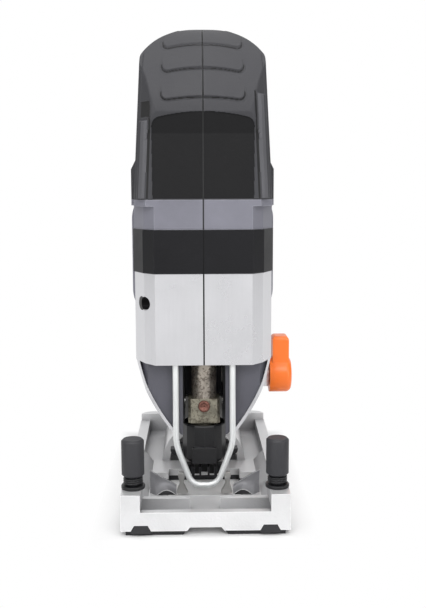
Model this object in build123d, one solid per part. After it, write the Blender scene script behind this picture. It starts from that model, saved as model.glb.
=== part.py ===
from build123d import *
import os
from math import cos, pi, radians, sin, sqrt, tan

# Jigsaw with a D-shaped handle. Millimetres, +Z up, the sole lies on z = 0.
# The blade end points to -Y, +X is the side of the orbital-action lever.

# Clearances
FIT = 0.05
SEAT = 0.1
RUN = 0.4
SADDLE_GAP = 0.3
OVER = 1.0

# Tilting base
BASE_W = 75.0
BASE_LEN = 154.0
BASE_FRONT = -77.0
BASE_CORNER_R = 8.0
SOLE_T = 2.5
SOLE_EDGE = 2.0
FLOOR_T = 3.5
RIM_T = 5.5
RIM_H = 12.5
REAR_LIP_T = 6.0
REAR_LIP_H = 16.5
BLOCK_W = 8.6
BLOCK_H = 18.9
FRONT_WALL_T = 3.5
FRONT_WALL_H = 11.0
GROOVE_W = 13.5
GROOVE_H = 6.0
GROOVE_WALL_T = 3.0
GROOVE_WALL_H = 11.2
BLADE_SLOT_W = 14.0
NOTCH_H = 4.1
NOTCH_SPLAY = 3.0
TAB_X = 28.6
TAB_W = 8.8
TAB_H = 5.0
TAB_T = 1.5
WINDOW_W = 54.0
WINDOW_SLOT_W = 37.0
SOLE_MARGIN = 0.4
WINDOW_FRONT = -42.0
SCOOP_RISE = 5.5
BEVEL_Z = 4.5
BEVEL_DEG = 45.0
DOME_R = 22.5
DOME_T = 4.0
DOME_Y = 12.0
DOME_LEN = 46.0
SOLE_ACCESS_W = 20.0

# Fence clamp knobs on the base
KNOB_X = 32.4
KNOB_R = 5.1
KNOB_H = 17.0
KNOB_CHAMFER = 0.9
STUD_R = 2.5
NECK_R = 3.0
NECK_H = 4.1
WASHER_R = 5.35
WASHER_T = 1.6
SPRING_WIRE = 1.1
SPRING_COILS = 3

# Plunger, blade clamp and release collar
PLUNGER_Y = -20.0
STROKE = 20.0
ROD_R = 6.2
CLAMP_W = 15.6
CLAMP_D = 13.0
CLAMP_H = 12.3
SPIGOT_R = 5.5
BLADE_T = 1.6
BLADE_W = 8.0
BLADE_DEPTH = 15.0
RIVET_R = 2.9
RIVET_PROUD = 1.0
RIVET_RISE = 8.6
COLLAR_Z = 17.5
COLLAR_H = 19.4
COLLAR_R = 11.0
WING_SPAN = 34.0
WING_D = 6.0
WING_Z = 17.5
WING_H = 5.5

# Guide bushes and gear train
BUSH_T = 2.8
BUSH_H = 6.0
GEAR_MODULE = 0.75
PINION_TEETH = 10
GEAR_TEETH = 50
GEAR_FACE = 5.5
PINION_FACE = 6.5
TOOTH_SHARE = 0.40
TOOTH_TIP = 0.8
TOOTH_ROOT = 1.2
ROOT_SHARE = 0.72
TIP_SHARE = 0.28
GEAR_HOLES_DEG = (30, 90, 150)
AXLE_R = 4.0
AXLE_COLLAR = 2.6
AXLE_CAP_T = 0.8
CRANK_PIN_R = 2.5
CRANK_ROLLER_R = 4.5
CRANK_ROLLER_W = 2.5
YOKE_T = 2.8
YOKE_RIM = 3.0
LINK_GAP = 0.5

# Gear frame
FRAME_Y = 0.2
FRAME_T = 7.0
FRAME_HALF_W = 29.8
FRAME_FOOT_W = 26.0
FOOT_Y = 14.0
FOOT_LEN = 42.0
SLAB_T = 6.0
SLAB_W = 44.0
EAR_T = 3.0
BEVEL_BOLT_R = 3.0
BEVEL_HEAD_R = 5.0
BEVEL_HEAD_H = 5.0
BEVEL_GRIP = 30.0
CLAMP_PLATE_W = 18.0
CLAMP_PLATE_LEN = 16.0
CLAMP_PLATE_T = 2.8
BEVEL_SLOT_OVER = 12.0
ARM_LIP = 2.0

# Roller fork under the collar
FORK_PIVOT_Y = -5.6
FORK_PIVOT_Z = 44.0
FORK_PIN_R = 2.0
FORK_ARM_T = 3.5
FORK_GAP = 12.0
FORK_BOTTOM = 8.5
FORK_TOE_H = 6.5
FORK_ARM_D = 4.5
FORK_TOE_LIP = 1.0
ROLLER_R = 4.5
ROLLER_W = 9.0
ROLLER_Y = -12.0
ROLLER_PIN_R = 1.5
GUIDE_W = 20.0
GUIDE_LEN = 8.5
GUIDE_FIN_T = 1.4
GUIDE_FINS = 6

# Finger guard wire
WIRE_R = 1.5
WIRE_Y = -34.5
WIRE_X = 13.7
WIRE_KNEE_Z = 29.0
WIRE_BOTTOM_X = 6.2
WIRE_BOTTOM_Z = 8.6
WIRE_KNEE_R = 26.0
WIRE_BOTTOM_R = 6.5

# Orbital-action lever
LEVER_Y = 3.0
LEVER_Z = 55.5
LEVER_HUB_R = 9.3
LEVER_HUB_X = 34.4
LEVER_HUB_T = 11.4
LEVER_ARM_W = 12.0
LEVER_ARM_T = 8.4
LEVER_REACH = 20.8
CAM_SHAFT_R = 4.0
CAM_BOSS_R = 6.5

# Front column of the body
HEAD_FRONT = -38.0
HEAD_FLAT_W = 46.0
HEAD_FACET_W = 56.6
HEAD_FACET_D = 6.0
HEAD_CHEEK_W = 66.8
HEAD_CHEEK_D = 17.0
COLUMN_W = 67.8
HEAD_H = 43.6
BAND_H = 20.8
BAND_PROUD = 0.6
GREY_H = 13.8
WALL = 3.0
SKIRT_WALL = 2.0
SKIRT_RIM = 1.5
SKIRT_MID_W = 50.4
SKIRT_MID_DROP = 19.2
SKIRT_LOW_W = 29.6
SKIRT_LOW_DROP = 35.0
CHANNEL_W = 24.4
PANEL_SET_BACK = 1.4
PANEL_T = 2.0

# Motor section and handle
BODY_W = 72.0
BODY_H = 68.0
BODY_R = 16.0
BODY_LEN = 92.0
BODY_TAIL = 26.0
BODY_TAIL_W = 52.0
BODY_TAIL_H = 50.0
PAD_Y = 26.0
PAD_LEN = 62.0
PAD_H = 15.0
PAD_T = 1.6
PAD_PROUD = 0.5
PAD_RISE = 16.0
FINGER_GAP = 34.0
GRIP_W = 38.0
GRIP_REAR_W = 36.0
GRIP_H = 41.4
GRIP_REAR_H = 36.0
GRIP_R = 14.0
GRIP_WALL = 2.6
GRIP_PAST = 8.0
PILLAR_W = 40.0
PILLAR_D = 34.0
PILLAR_SET = 28.0
PILLAR_R = 13.0
NOSE_W = 66.0
NOSE_TOP_W = 57.6
NOSE_ARCH_R = 33.5
NOSE_SHOULDER_R = 5.0
NOSE_PANEL_H = 30.3
NOSE_LIP_H = 39.8
NOSE_LIP_Y = -43.0
NOSE_BROW_Y = -33.5
NOSE_BROW_DROP = 17.0
NOSE_CROWN_Y = -6.0
NOSE_CROWN_RISE = 0.6
NOSE_PANEL_LEAN = 1.5
NOSE_BACK = 14.0
NOSE_FLAT_W = 46.0
NOSE_CORNER_D = 13.0
NOSE_NECK_Y = -2.0
NOSE_NECK_END = 36.0
NOSE_NECK_W = 24.0
SHOULDER_W = 72.0
SHOULDER_H = 25.0
SHOULDER_Y = -2.0
SHOULDER_BEVEL = 5.0

# Motor
STATOR_R = 28.0
STATOR_Y = 28.0
STATOR_LEN = 38.0
STATOR_BORE_R = 17.0
STATOR_RIB_T = 3.0
COIL_R_IN = 17.6
COIL_R_OUT = 24.0
COIL_HALF_DEG = 48.0
COIL_OVERHANG = 6.0
CORE_R = 16.2
CORE_SLOTS = 12
CORE_SLOT_W = 2.0
CORE_SLOT_D = 4.5
SHAFT_R = 4.0
SHAFT_NOSE_R = 2.0
FAN_R = 25.0
FAN_Y = 9.5
FAN_T = 8.0
FAN_BLADES = 12
FAN_BLADE_T = 1.4
COMM_R = 11.0
COMM_LEN = 13.0
COMM_Y = 75.0
COMM_BARS = 12
COMM_GAP = 0.8
COMM_GAP_D = 1.2
BEARING_R = 11.0
BEARING_T = 7.0
BEARING_SEAL_W = 2.0
BEARING_LIP = 2.0
REAR_BEARING_R = 9.5
REAR_BEARING_T = 6.0
REAR_WEB_T = 7.0
REAR_WEB_Y = 91.0
BRUSH_W = 6.0
BRUSH_H = 8.0
BRUSH_LEN = 14.0
HOLDER_T = 1.6

# Switch, trigger, lock button, speed dial, cord inlet
SWITCH_W = 18.0
SWITCH_LEN = 44.0
SWITCH_H = 16.0
TRIGGER_Y = 22.0
TRIGGER_LEN = 30.0
TRIGGER_W = 16.0
TRIGGER_DROP = 8.0
TRIGGER_FLANGE = 2.0
TRIGGER_TRAVEL = 6.0
BUTTON_Y = 44.0
BUTTON_R = 4.5
BUTTON_PROUD = 2.6
BUTTON_FLANGE = 1.5
DIAL_R = 11.0
DIAL_W = 7.0
DIAL_PROUD = 2.4
DIAL_RISE = 20.0
DIAL_PIN_R = 2.0
DIAL_FLUTES = 24
DIAL_FLUTE_R = 0.8
DIAL_CHEEK_T = 2.0
GLAND_R = 7.0
GLAND_FLANGE_R = 9.0
GLAND_FLANGE_T = 2.6
GLAND_BORE_R = 4.1
GLAND_DROP = 6.0

# Housing screws, driven in from the -X side
SCREW_R = 1.75
SCREW_HEAD_R = 3.1
SCREW_HEAD_H = 2.8
SCREW_SEAT_X = 6.0
SCREW_GRIP = 12.0
BOSS_R = 4.6
VENT_W = 2.2
VENT_H = 30.0
VENT_PITCH = 4.0
VENTS = 4

# Heights that follow from the sizes above
FLOOR_Z = SOLE_T + FLOOR_T
BASE_BACK = BASE_FRONT + BASE_LEN
KNOB_Y = BASE_FRONT + FRONT_WALL_T + GROOVE_W / 2
KNOB_Z = BLOCK_H + WASHER_T + NECK_H
CLAMP_Z = COLLAR_Z + COLLAR_H + SEAT * 3
CLAMP_TOP = CLAMP_Z + CLAMP_H
LOWER_BUSH_Z = CLAMP_TOP + STROKE + 2 * RUN
LOWER_BUSH_TOP = LOWER_BUSH_Z + BUSH_H
PINION_PITCH_R = GEAR_MODULE * PINION_TEETH / 2
GEAR_PITCH_R = GEAR_MODULE * GEAR_TEETH / 2
PINION_TIP_R = PINION_PITCH_R + GEAR_MODULE
GEAR_TIP_R = GEAR_PITCH_R + GEAR_MODULE
GEAR_Z = LOWER_BUSH_TOP + GEAR_TIP_R + 2 * RUN
MOTOR_Z = GEAR_Z + GEAR_PITCH_R + PINION_PITCH_R
CRANK_R = STROKE / 2
PIN_Z = GEAR_Z - CRANK_R
UPPER_BUSH_Z = MOTOR_Z + PINION_TIP_R + 6 * RUN
ROD_TOP = UPPER_BUSH_Z + BUSH_H + 4 * RUN
FRAME_TOP = UPPER_BUSH_Z + BUSH_H + SLAB_T
HEAD_Z = LOWER_BUSH_Z - 4 * RUN
BAND_Z = HEAD_Z + HEAD_H
GREY_Z = BAND_Z + BAND_H
NOSE_Z = GREY_Z + GREY_H
SKIRT_MID_Z = HEAD_Z - SKIRT_MID_DROP
SKIRT_LOW_Z = HEAD_Z - SKIRT_LOW_DROP
BODY_Z = MOTOR_Z - BODY_H / 2
BODY_TOP = MOTOR_Z + BODY_H / 2
GRIP_Z = BODY_TOP + FINGER_GAP
TOP_Z = GRIP_Z + GRIP_H + NOSE_CROWN_RISE
PILLAR_Y = BODY_LEN + PILLAR_SET
PILLAR_Z = MOTOR_Z - BODY_TAIL_H / 2
PILLAR_BACK = PILLAR_Y + PILLAR_D / 2
GRIP_END = PILLAR_Y + GRIP_PAST
DIAL_Z = BODY_TOP + DIAL_RISE
DIAL_Y = PILLAR_BACK + DIAL_PROUD - DIAL_R
SLAB_Z = LEVER_Z + CAM_BOSS_R + RUN
SADDLE_R = DOME_R + SADDLE_GAP
YOKE_BACK = FRAME_Y - GEAR_FACE - CRANK_ROLLER_W - 2 * RUN - LINK_GAP - AXLE_COLLAR
YOKE_FRONT = YOKE_BACK - YOKE_T
GEAR_FRONT = YOKE_BACK + LINK_GAP + CRANK_ROLLER_W + RUN
FAR = 400.0
SKIRT_FRONT = WIRE_Y + WIRE_R + RUN
SKIRT_BACK = FOOT_Y + FOOT_LEN + WALL + 2 * RUN
FACET_BACK = HEAD_FRONT + HEAD_CHEEK_D + OVER
PANEL_Y = SKIRT_FRONT + PANEL_SET_BACK
WINDOW_BACK = FORK_PIVOT_Y + FORK_ARM_D / 2 + 2 * RUN
GROOVE_BACK = BASE_FRONT + FRONT_WALL_T + GROOVE_W
BLOCK_BACK = GROOVE_BACK + GROOVE_WALL_T

# Screw places as (y, z)
SCREW_PLACES = [
    (HEAD_FRONT + BOSS_R + WALL / 2, BAND_Z - HEAD_H / 3),
    (NOSE_LIP_Y + NOSE_CORNER_D, NOSE_Z + NOSE_LIP_H),
    (BOSS_R, TOP_Z - GRIP_H / 2),
    (PILLAR_Y, GRIP_Z + GRIP_H / 2),
    (PILLAR_Y, MOTOR_Z + BODY_TAIL_H / 2 - BOSS_R),
    (BODY_LEN + BODY_TAIL / 2, MOTOR_Z - BODY_TAIL_H / 2 + 2 * BOSS_R),
]


def block(x0, x1, y0, y1, z0, z1):
    return Pos((x0 + x1) / 2, (y0 + y1) / 2, (z0 + z1) / 2) * Box(x1 - x0, y1 - y0, z1 - z0)


def rod_x(y, z, r, x0, x1):
    return Pos((x0 + x1) / 2, y, z) * Rot(0, 90, 0) * Cylinder(r, x1 - x0)


def rod_y(x, z, r, y0, y1):
    return Pos(x, (y0 + y1) / 2, z) * Rot(90, 0, 0) * Cylinder(r, y1 - y0)


def rod_z(x, y, r, z0, z1):
    return Pos(x, y, (z0 + z1) / 2) * Cylinder(r, z1 - z0)


def polygon(points):
    return make_face(Polyline(*points, close=True))


def inset(face, depth):
    if depth == 0:
        return face
    return offset(face, amount=-depth, kind=Kind.INTERSECTION)


def prism_x(face, x0, x1):
    return extrude(Plane.YZ.offset(x0) * face, amount=x1 - x0, dir=(1, 0, 0))


def prism_y(face, y0, y1):
    return extrude(Plane.XZ.offset(-y0) * face, amount=y1 - y0, dir=(0, 1, 0))


def prism_z(face, z0, z1):
    return extrude(Plane.XY.offset(z0) * face, amount=z1 - z0, dir=(0, 0, 1))


def mirrored(points):
    return points + [(-x, z) for x, z in reversed(points)]


def round_slab(w, h, r, y, z):
    """A rounded rectangle across Y, its centre at height z."""
    return Plane.XZ.offset(-y) * Pos(0, z) * RectangleRounded(w, h, r)


def column_face(back):
    """Faceted plan of the front column, open to the back at y = back."""
    half = [
        (COLUMN_W / 2, back),
        (HEAD_CHEEK_W / 2, HEAD_FRONT + HEAD_CHEEK_D),
        (HEAD_FACET_W / 2, HEAD_FRONT + HEAD_FACET_D),
        (HEAD_FLAT_W / 2, HEAD_FRONT),
    ]
    return polygon(mirrored(half))


def skirt_face():
    """V-shaped front outline of the skirt below the head."""
    top = (COLUMN_W / 2, BODY_Z + WALL)
    knee = (COLUMN_W / 2, HEAD_Z + WALL)
    mid = (SKIRT_MID_W / 2, SKIRT_MID_Z)
    low = (SKIRT_LOW_W / 2, SKIRT_LOW_Z)
    left = [(-x, z) for x, z in (top, knee, mid, low)]
    edges = [
        Line(left[0], top),
        Line(top, knee),
        ThreePointArc(knee, mid, low),
        Line(low, left[3]),
        ThreePointArc(left[3], left[2], left[1]),
        Line(left[1], left[0]),
    ]
    return make_face(edges)


def skirt(gap):
    plan = inset(column_face(SKIRT_BACK + gap + WALL), gap)
    outline = inset(skirt_face(), gap)
    return prism_y(outline, SKIRT_FRONT - gap, SKIRT_BACK - gap) & prism_z(plan, 0, FAR)


def facet_window(gap):
    """Front opening of the skirt for the dark panels, inside the silver rim."""
    outline = inset(skirt_face(), SKIRT_RIM + gap)
    below_head = block(-FAR, FAR, -FAR, FAR, 0, HEAD_Z - gap)
    return prism_y(outline, HEAD_FRONT - OVER, FACET_BACK - gap) & below_head


def wing_notch():
    """Cut in the skirt's lower edge for the wings of the release collar over the stroke."""
    half = WING_SPAN / 2 + 2 * RUN
    reach = WING_SPAN / 4 + WING_D / 4
    top = WING_Z + WING_H + STROKE + 2 * RUN
    return block(-half, half, PLUNGER_Y - reach, PLUNGER_Y + reach, SKIRT_LOW_Z - WALL, top)


def skirt_hollow():
    """Room inside the skirt: open below, closed by the head floor in front."""
    room = skirt(SKIRT_WALL)
    mouth = SKIRT_LOW_W / 2 - SKIRT_WALL
    room += block(-mouth, mouth, SKIRT_FRONT, SKIRT_BACK - WALL, SKIRT_LOW_Z - WALL, SKIRT_MID_Z)
    room -= block(-FAR, FAR, -FAR, FRAME_Y, HEAD_Z, FAR)
    return room - block(-FAR, FAR, FRAME_Y, FAR, BODY_Z, FAR)


def motor_section(gap):
    front = round_slab(BODY_W - 2 * gap, BODY_H - 2 * gap, BODY_R - gap, 0, MOTOR_Z)
    rear = round_slab(BODY_W - 2 * gap, BODY_H - 2 * gap, BODY_R - gap, BODY_LEN, MOTOR_Z)
    tail_y = BODY_LEN + BODY_TAIL - gap
    tail = round_slab(BODY_TAIL_W - 2 * gap, BODY_TAIL_H - 2 * gap, BODY_R - gap, tail_y, MOTOR_Z)
    start = gap
    straight = extrude(Pos(0, BODY_LEN, 0) * front, amount=BODY_LEN - start)
    return straight + loft([rear, tail], ruled=True)


def nose_front_face():
    """Arched outline of the nose seen from the front."""
    low = NOSE_Z - WALL
    half = NOSE_TOP_W / 2
    crown = TOP_Z
    drop = NOSE_ARCH_R - sqrt(NOSE_ARCH_R**2 - half**2)
    edges = [
        Line((-NOSE_W / 2, low), (NOSE_W / 2, low)),
        Line((NOSE_W / 2, low), (half, crown - drop)),
        ThreePointArc((half, crown - drop), (0, crown), (-half, crown - drop)),
        Line((-half, crown - drop), (-NOSE_W / 2, low)),
    ]
    face = make_face(edges)
    shoulders = face.vertices().sort_by(Axis.Y)[-2:]
    return fillet(shoulders, NOSE_SHOULDER_R)


def nose_side_face():
    """Side outline of the nose: panel, lip, brow and crown, then the finger gap."""
    low = NOSE_Z - WALL
    foot = (HEAD_FRONT, low)
    panel = (HEAD_FRONT - NOSE_PANEL_LEAN, NOSE_Z + NOSE_PANEL_H)
    lip = (NOSE_LIP_Y, NOSE_Z + NOSE_LIP_H)
    brow = (NOSE_BROW_Y, TOP_Z - NOSE_BROW_DROP)
    crown = (NOSE_CROWN_Y, TOP_Z)
    slope = (GRIP_H - GRIP_REAR_H) / (GRIP_END - NOSE_CROWN_Y)
    neck_drop = slope * (NOSE_NECK_END - NOSE_CROWN_Y) + 2 * NOSE_CROWN_RISE
    neck_top = (NOSE_NECK_END, TOP_Z - neck_drop)
    neck_low = (NOSE_NECK_END, GRIP_Z + GRIP_R)
    edges = [
        Line(foot, panel),
        Line(panel, lip),
        ThreePointArc(lip, brow, crown),
        Line(crown, neck_top),
        Line(neck_top, neck_low),
        Line(neck_low, (NOSE_BACK, GRIP_Z - GRIP_R / 2)),
        Line((NOSE_BACK, GRIP_Z - GRIP_R / 2), (NOSE_BACK, low)),
        Line((NOSE_BACK, low), foot),
    ]
    return make_face(edges)


def nose_plan_face():
    """Plan of the nose: flat front, bevelled corners, neck into the grip."""
    half = [
        (NOSE_NECK_W / 2, NOSE_NECK_END + WALL),
        (NOSE_W / 2, NOSE_NECK_Y),
        (NOSE_W / 2, NOSE_LIP_Y + NOSE_CORNER_D),
        (NOSE_FLAT_W / 2, NOSE_LIP_Y),
    ]
    face = polygon(mirrored(half))
    corners = face.vertices().filter_by(lambda v: v.Y < NOSE_NECK_Y - OVER)
    return fillet(corners, NOSE_SHOULDER_R)


def nose(gap):
    front = prism_y(inset(nose_front_face(), gap), NOSE_LIP_Y - OVER, NOSE_NECK_END + OVER)
    side = prism_x(inset(nose_side_face(), gap), -NOSE_W, NOSE_W)
    plan = prism_z(inset(nose_plan_face(), gap), HEAD_Z, TOP_Z + OVER)
    return side & plan & front


def shoulder(gap):
    """Wide root of the handle over the front of the motor section."""
    half = SHOULDER_W / 2 - gap
    top = NOSE_Z + SHOULDER_H - gap
    outline = [
        (half, NOSE_Z - WALL),
        (half, top - 2 * SHOULDER_BEVEL),
        (half - SHOULDER_BEVEL, top),
    ]
    return prism_y(polygon(mirrored(outline)), SHOULDER_Y + gap, NOSE_BACK - gap)


def grip(gap):
    front = round_slab(GRIP_W - 2 * gap, GRIP_H - 2 * gap, GRIP_R - gap, NOSE_CROWN_Y, GRIP_Z + GRIP_H / 2)
    rear_z = GRIP_Z + GRIP_REAR_H / 2
    rear = round_slab(GRIP_REAR_W - 2 * gap, GRIP_REAR_H - 2 * gap, GRIP_R - gap, GRIP_END, rear_z)
    return loft([front, rear], ruled=True)


def pillar(gap):
    face = RectangleRounded(PILLAR_W - 2 * gap, PILLAR_D - 2 * gap, PILLAR_R - gap)
    top = GRIP_Z + GRIP_REAR_H - gap
    post = prism_z(Pos(0, PILLAR_Y) * face, PILLAR_Z + gap, top)
    ends = post.edges().group_by(Axis.Z)
    return fillet(ends[-1] + ends[0], PILLAR_R / 2 - gap)


def body_form():
    form = prism_z(column_face(FRAME_T), HEAD_Z, NOSE_Z + WALL)
    for piece in (skirt(0), motor_section(0), nose(0), shoulder(0), grip(0), pillar(0)):
        form += piece
    return form


def body_hollow():
    room = prism_z(inset(column_face(FRAME_T + 2 * WALL), WALL), HEAD_Z + WALL, NOSE_Z + 2 * WALL)
    room += skirt_hollow()
    room += motor_section(WALL)
    room += nose(WALL)
    room += shoulder(WALL)
    room += grip(GRIP_WALL)
    room += pillar(GRIP_WALL)
    half = CHANNEL_W / 2
    return room + block(-half, half, SKIRT_FRONT, FRAME_Y, HEAD_Z - WALL, HEAD_Z + 2 * WALL)


def stator_ribs():
    """Rings inside the motor section that hold the stator and the rear bearing."""
    room = motor_section(WALL)
    stations = (STATOR_Y, STATOR_Y + STATOR_LEN - STATOR_RIB_T)
    ribs = []
    for y in stations:
        ring = room & block(-FAR, FAR, y, y + STATOR_RIB_T, 0, FAR)
        ribs.append(ring - rod_y(0, MOTOR_Z, STATOR_R + FIT, y - OVER, y + STATOR_RIB_T + OVER))
    web = room & block(-FAR, FAR, REAR_WEB_Y, REAR_WEB_Y + REAR_WEB_T, 0, FAR)
    seat = rod_y(0, MOTOR_Z, REAR_BEARING_R + FIT, REAR_WEB_Y, REAR_WEB_Y + REAR_BEARING_T)
    pass_through = rod_y(0, MOTOR_Z, REAR_BEARING_R - BEARING_LIP, REAR_WEB_Y, REAR_WEB_Y + REAR_WEB_T)
    ribs.append(web - seat - pass_through)
    return ribs


def screw_bosses():
    posts = []
    for y, z in SCREW_PLACES:
        posts.append(rod_x(y, z, BOSS_R, -BODY_W / 2, BODY_W / 2))
    return posts


def screw_holes():
    holes = []
    for y, z in SCREW_PLACES:
        hole = rod_x(y, z, SCREW_HEAD_R + FIT * 4, -FAR, -SCREW_SEAT_X)
        hole += rod_x(y, z, SCREW_R + FIT, -SCREW_SEAT_X, SCREW_GRIP + RUN)
        holes.append(hole)
    return holes


def vent_cuts():
    cuts = []
    for row_y in (FAN_Y, BODY_LEN + VENT_PITCH):
        for i in range(VENTS):
            y = row_y + i * VENT_PITCH
            for x0, x1 in ((-FAR, -BODY_TAIL_W / 3), (BODY_TAIL_W / 3, FAR)):
                cuts.append(block(x0, x1, y, y + VENT_W, MOTOR_Z - VENT_H / 2, MOTOR_Z + VENT_H / 2))
    return cuts


def pad_face(gap):
    return Pos(PAD_Y + PAD_LEN / 2, BODY_Z + PAD_RISE + PAD_H / 2) * RectangleRounded(
        PAD_LEN - 2 * gap, PAD_H - 2 * gap, PAD_H / 3 - gap
    )


def pad_recesses():
    outer = BODY_W / 2
    face = pad_face(0)
    depth = PAD_T - PAD_PROUD
    return [prism_x(face, -FAR, depth - outer), prism_x(face, outer - depth, FAR)]


def control_openings():
    """Trigger slot, lock button hole, dial slot, cord inlet and lever shaft bore."""
    half = TRIGGER_W / 2 + RUN
    y1 = TRIGGER_Y + TRIGGER_LEN + RUN
    slot = block(-half, half, TRIGGER_Y - RUN, y1, GRIP_Z - OVER, GRIP_Z + GRIP_WALL + OVER)
    button = rod_x(BUTTON_Y, button_z(), BUTTON_R + FIT, -GRIP_W, 0)
    dial_half = DIAL_W / 2 + RUN
    reach = sqrt(DIAL_R**2 - (DIAL_R - DIAL_PROUD - GRIP_WALL) ** 2) + 2 * RUN
    rear = PILLAR_BACK + OVER
    dial_y = PILLAR_BACK - GRIP_WALL - OVER
    dial = block(-dial_half, dial_half, dial_y, rear, DIAL_Z - reach, DIAL_Z + reach)
    gland = rod_y(0, gland_z(), GLAND_R + FIT, PILLAR_BACK - 2 * GRIP_WALL, rear)
    shaft = rod_x(LEVER_Y, LEVER_Z, CAM_SHAFT_R + FIT, 0, FAR)
    return [slot, button, dial, gland, shaft]


def button_z():
    return GRIP_Z + GRIP_REAR_H / 2


def gland_z():
    return MOTOR_Z - GLAND_DROP


def body_shell():
    form = body_form()
    shell = form - body_hollow()
    for rib in stator_ribs():
        shell += rib
    for post in screw_bosses():
        shell += post & form
    shell += cam_boss()
    shell = shell - facet_window(0) - wing_notch()
    for cut in screw_holes() + vent_cuts() + pad_recesses() + control_openings() + wire_holes():
        shell -= cut
    return shell


def cam_boss():
    inner = skirt_half_width(LEVER_Z) - 1.5 * SKIRT_WALL
    return rod_x(LEVER_Y, LEVER_Z, CAM_BOSS_R, inner, LEVER_HUB_X - RUN)


def skirt_half_width(z):
    """Half width of the skirt's curved outline at height z."""
    arc = skirt_face().edges().filter_by(GeomType.CIRCLE).sort_by(Axis.X)[-1]
    cut = Edge.make_line((0, z, 0), (COLUMN_W, z, 0)).intersect(arc)
    return cut[0].X if isinstance(cut, list) else cut.X


def wire_holes():
    top = HEAD_Z + WALL + OVER
    return [rod_z(x, WIRE_Y, WIRE_R + FIT, HEAD_Z - OVER, top) for x in (-WIRE_X, WIRE_X)]


def left_half(piece):
    return piece & block(-FAR, 0, -FAR, FAR, -FAR, FAR)


def right_half(piece):
    return piece & block(0, FAR, -FAR, FAR, -FAR, FAR)


def body_pieces():
    """The shell divided into silver head, grey housing and black handle, each in halves."""
    shell = body_shell()
    head_room = block(-FAR, FAR, -FAR, 0, 0, BAND_Z)
    head_room += block(-FAR, FAR, -OVER, FAR, 0, BODY_Z)
    band_room = block(-FAR, FAR, -FAR, 0, BAND_Z, GREY_Z)
    handle_room = block(-FAR, FAR, -FAR, FAR, NOSE_Z, FAR)
    head = shell & head_room
    handle = shell & handle_room
    housing = shell - head_room - band_room - handle_room
    pieces = {}
    for name, piece in (("head_cover", head), ("housing", housing), ("handle", handle)):
        pieces[name + "_left"] = left_half(piece)
        pieces[name + "_right"] = right_half(piece)
    return pieces


def band_pieces():
    """Black band that wraps the column between head and housing."""
    outer = prism_z(inset(column_face(FRAME_T), -BAND_PROUD), BAND_Z, GREY_Z)
    ring = outer - prism_z(inset(column_face(FRAME_T + 3 * WALL), WALL), BAND_Z, GREY_Z)
    ring &= block(-FAR, FAR, -FAR, 0, 0, FAR)
    return {"band_left": left_half(ring), "band_right": right_half(ring)}


def panel_pieces():
    """Dark plates set back inside the skirt on both sides of the blade channel."""
    set_back = PANEL_Y - SKIRT_FRONT
    front = prism_z(inset(column_face(SKIRT_BACK), set_back), 0, HEAD_Z)
    front &= block(-FAR, FAR, PANEL_Y, FAR, 0, FAR)
    behind = prism_z(inset(column_face(SKIRT_BACK + FAR), set_back + PANEL_T), 0, HEAD_Z)
    behind &= block(-FAR, FAR, PANEL_Y + PANEL_T, FAR, 0, FAR)
    plates = (front - behind) & facet_window(SEAT)
    half = CHANNEL_W / 2
    plates -= block(-half, half, -FAR, FAR, 0, FAR)
    plates -= wing_notch()
    return {"lower_panel_left": left_half(plates), "lower_panel_right": right_half(plates)}


def side_pads():
    outer = BODY_W / 2
    face = pad_face(SEAT)
    seat = outer - PAD_T + PAD_PROUD + FIT
    left = prism_x(face, -outer - PAD_PROUD, -seat)
    right = prism_x(face, seat, outer + PAD_PROUD)
    return {"side_pad_left": left, "side_pad_right": right}


def housing_screws():
    screws = []
    for y, z in SCREW_PLACES:
        head = rod_x(y, z, SCREW_HEAD_R, -SCREW_SEAT_X - SCREW_HEAD_H, -SCREW_SEAT_X)
        drive = Pos(-SCREW_SEAT_X - SCREW_HEAD_H, y, z) * Box(SCREW_HEAD_H, 2, 2)
        screws.append(head - drive + rod_x(y, z, SCREW_R, -SCREW_SEAT_X, SCREW_GRIP))
    return Compound(children=screws)


def finger_guard():
    top = HEAD_Z + WALL
    points = [
        (-WIRE_X, WIRE_Y, top),
        (-WIRE_X, WIRE_Y, WIRE_KNEE_Z),
        (-WIRE_BOTTOM_X, WIRE_Y, WIRE_BOTTOM_Z),
        (WIRE_BOTTOM_X, WIRE_Y, WIRE_BOTTOM_Z),
        (WIRE_X, WIRE_Y, WIRE_KNEE_Z),
        (WIRE_X, WIRE_Y, top),
    ]
    radii = [WIRE_KNEE_R, WIRE_BOTTOM_R, WIRE_BOTTOM_R, WIRE_KNEE_R]
    path = FilletPolyline(*points, radius=radii)
    return sweep(Plane(points[0], z_dir=(0, 0, -1)) * Circle(WIRE_R), path=path)


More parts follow.
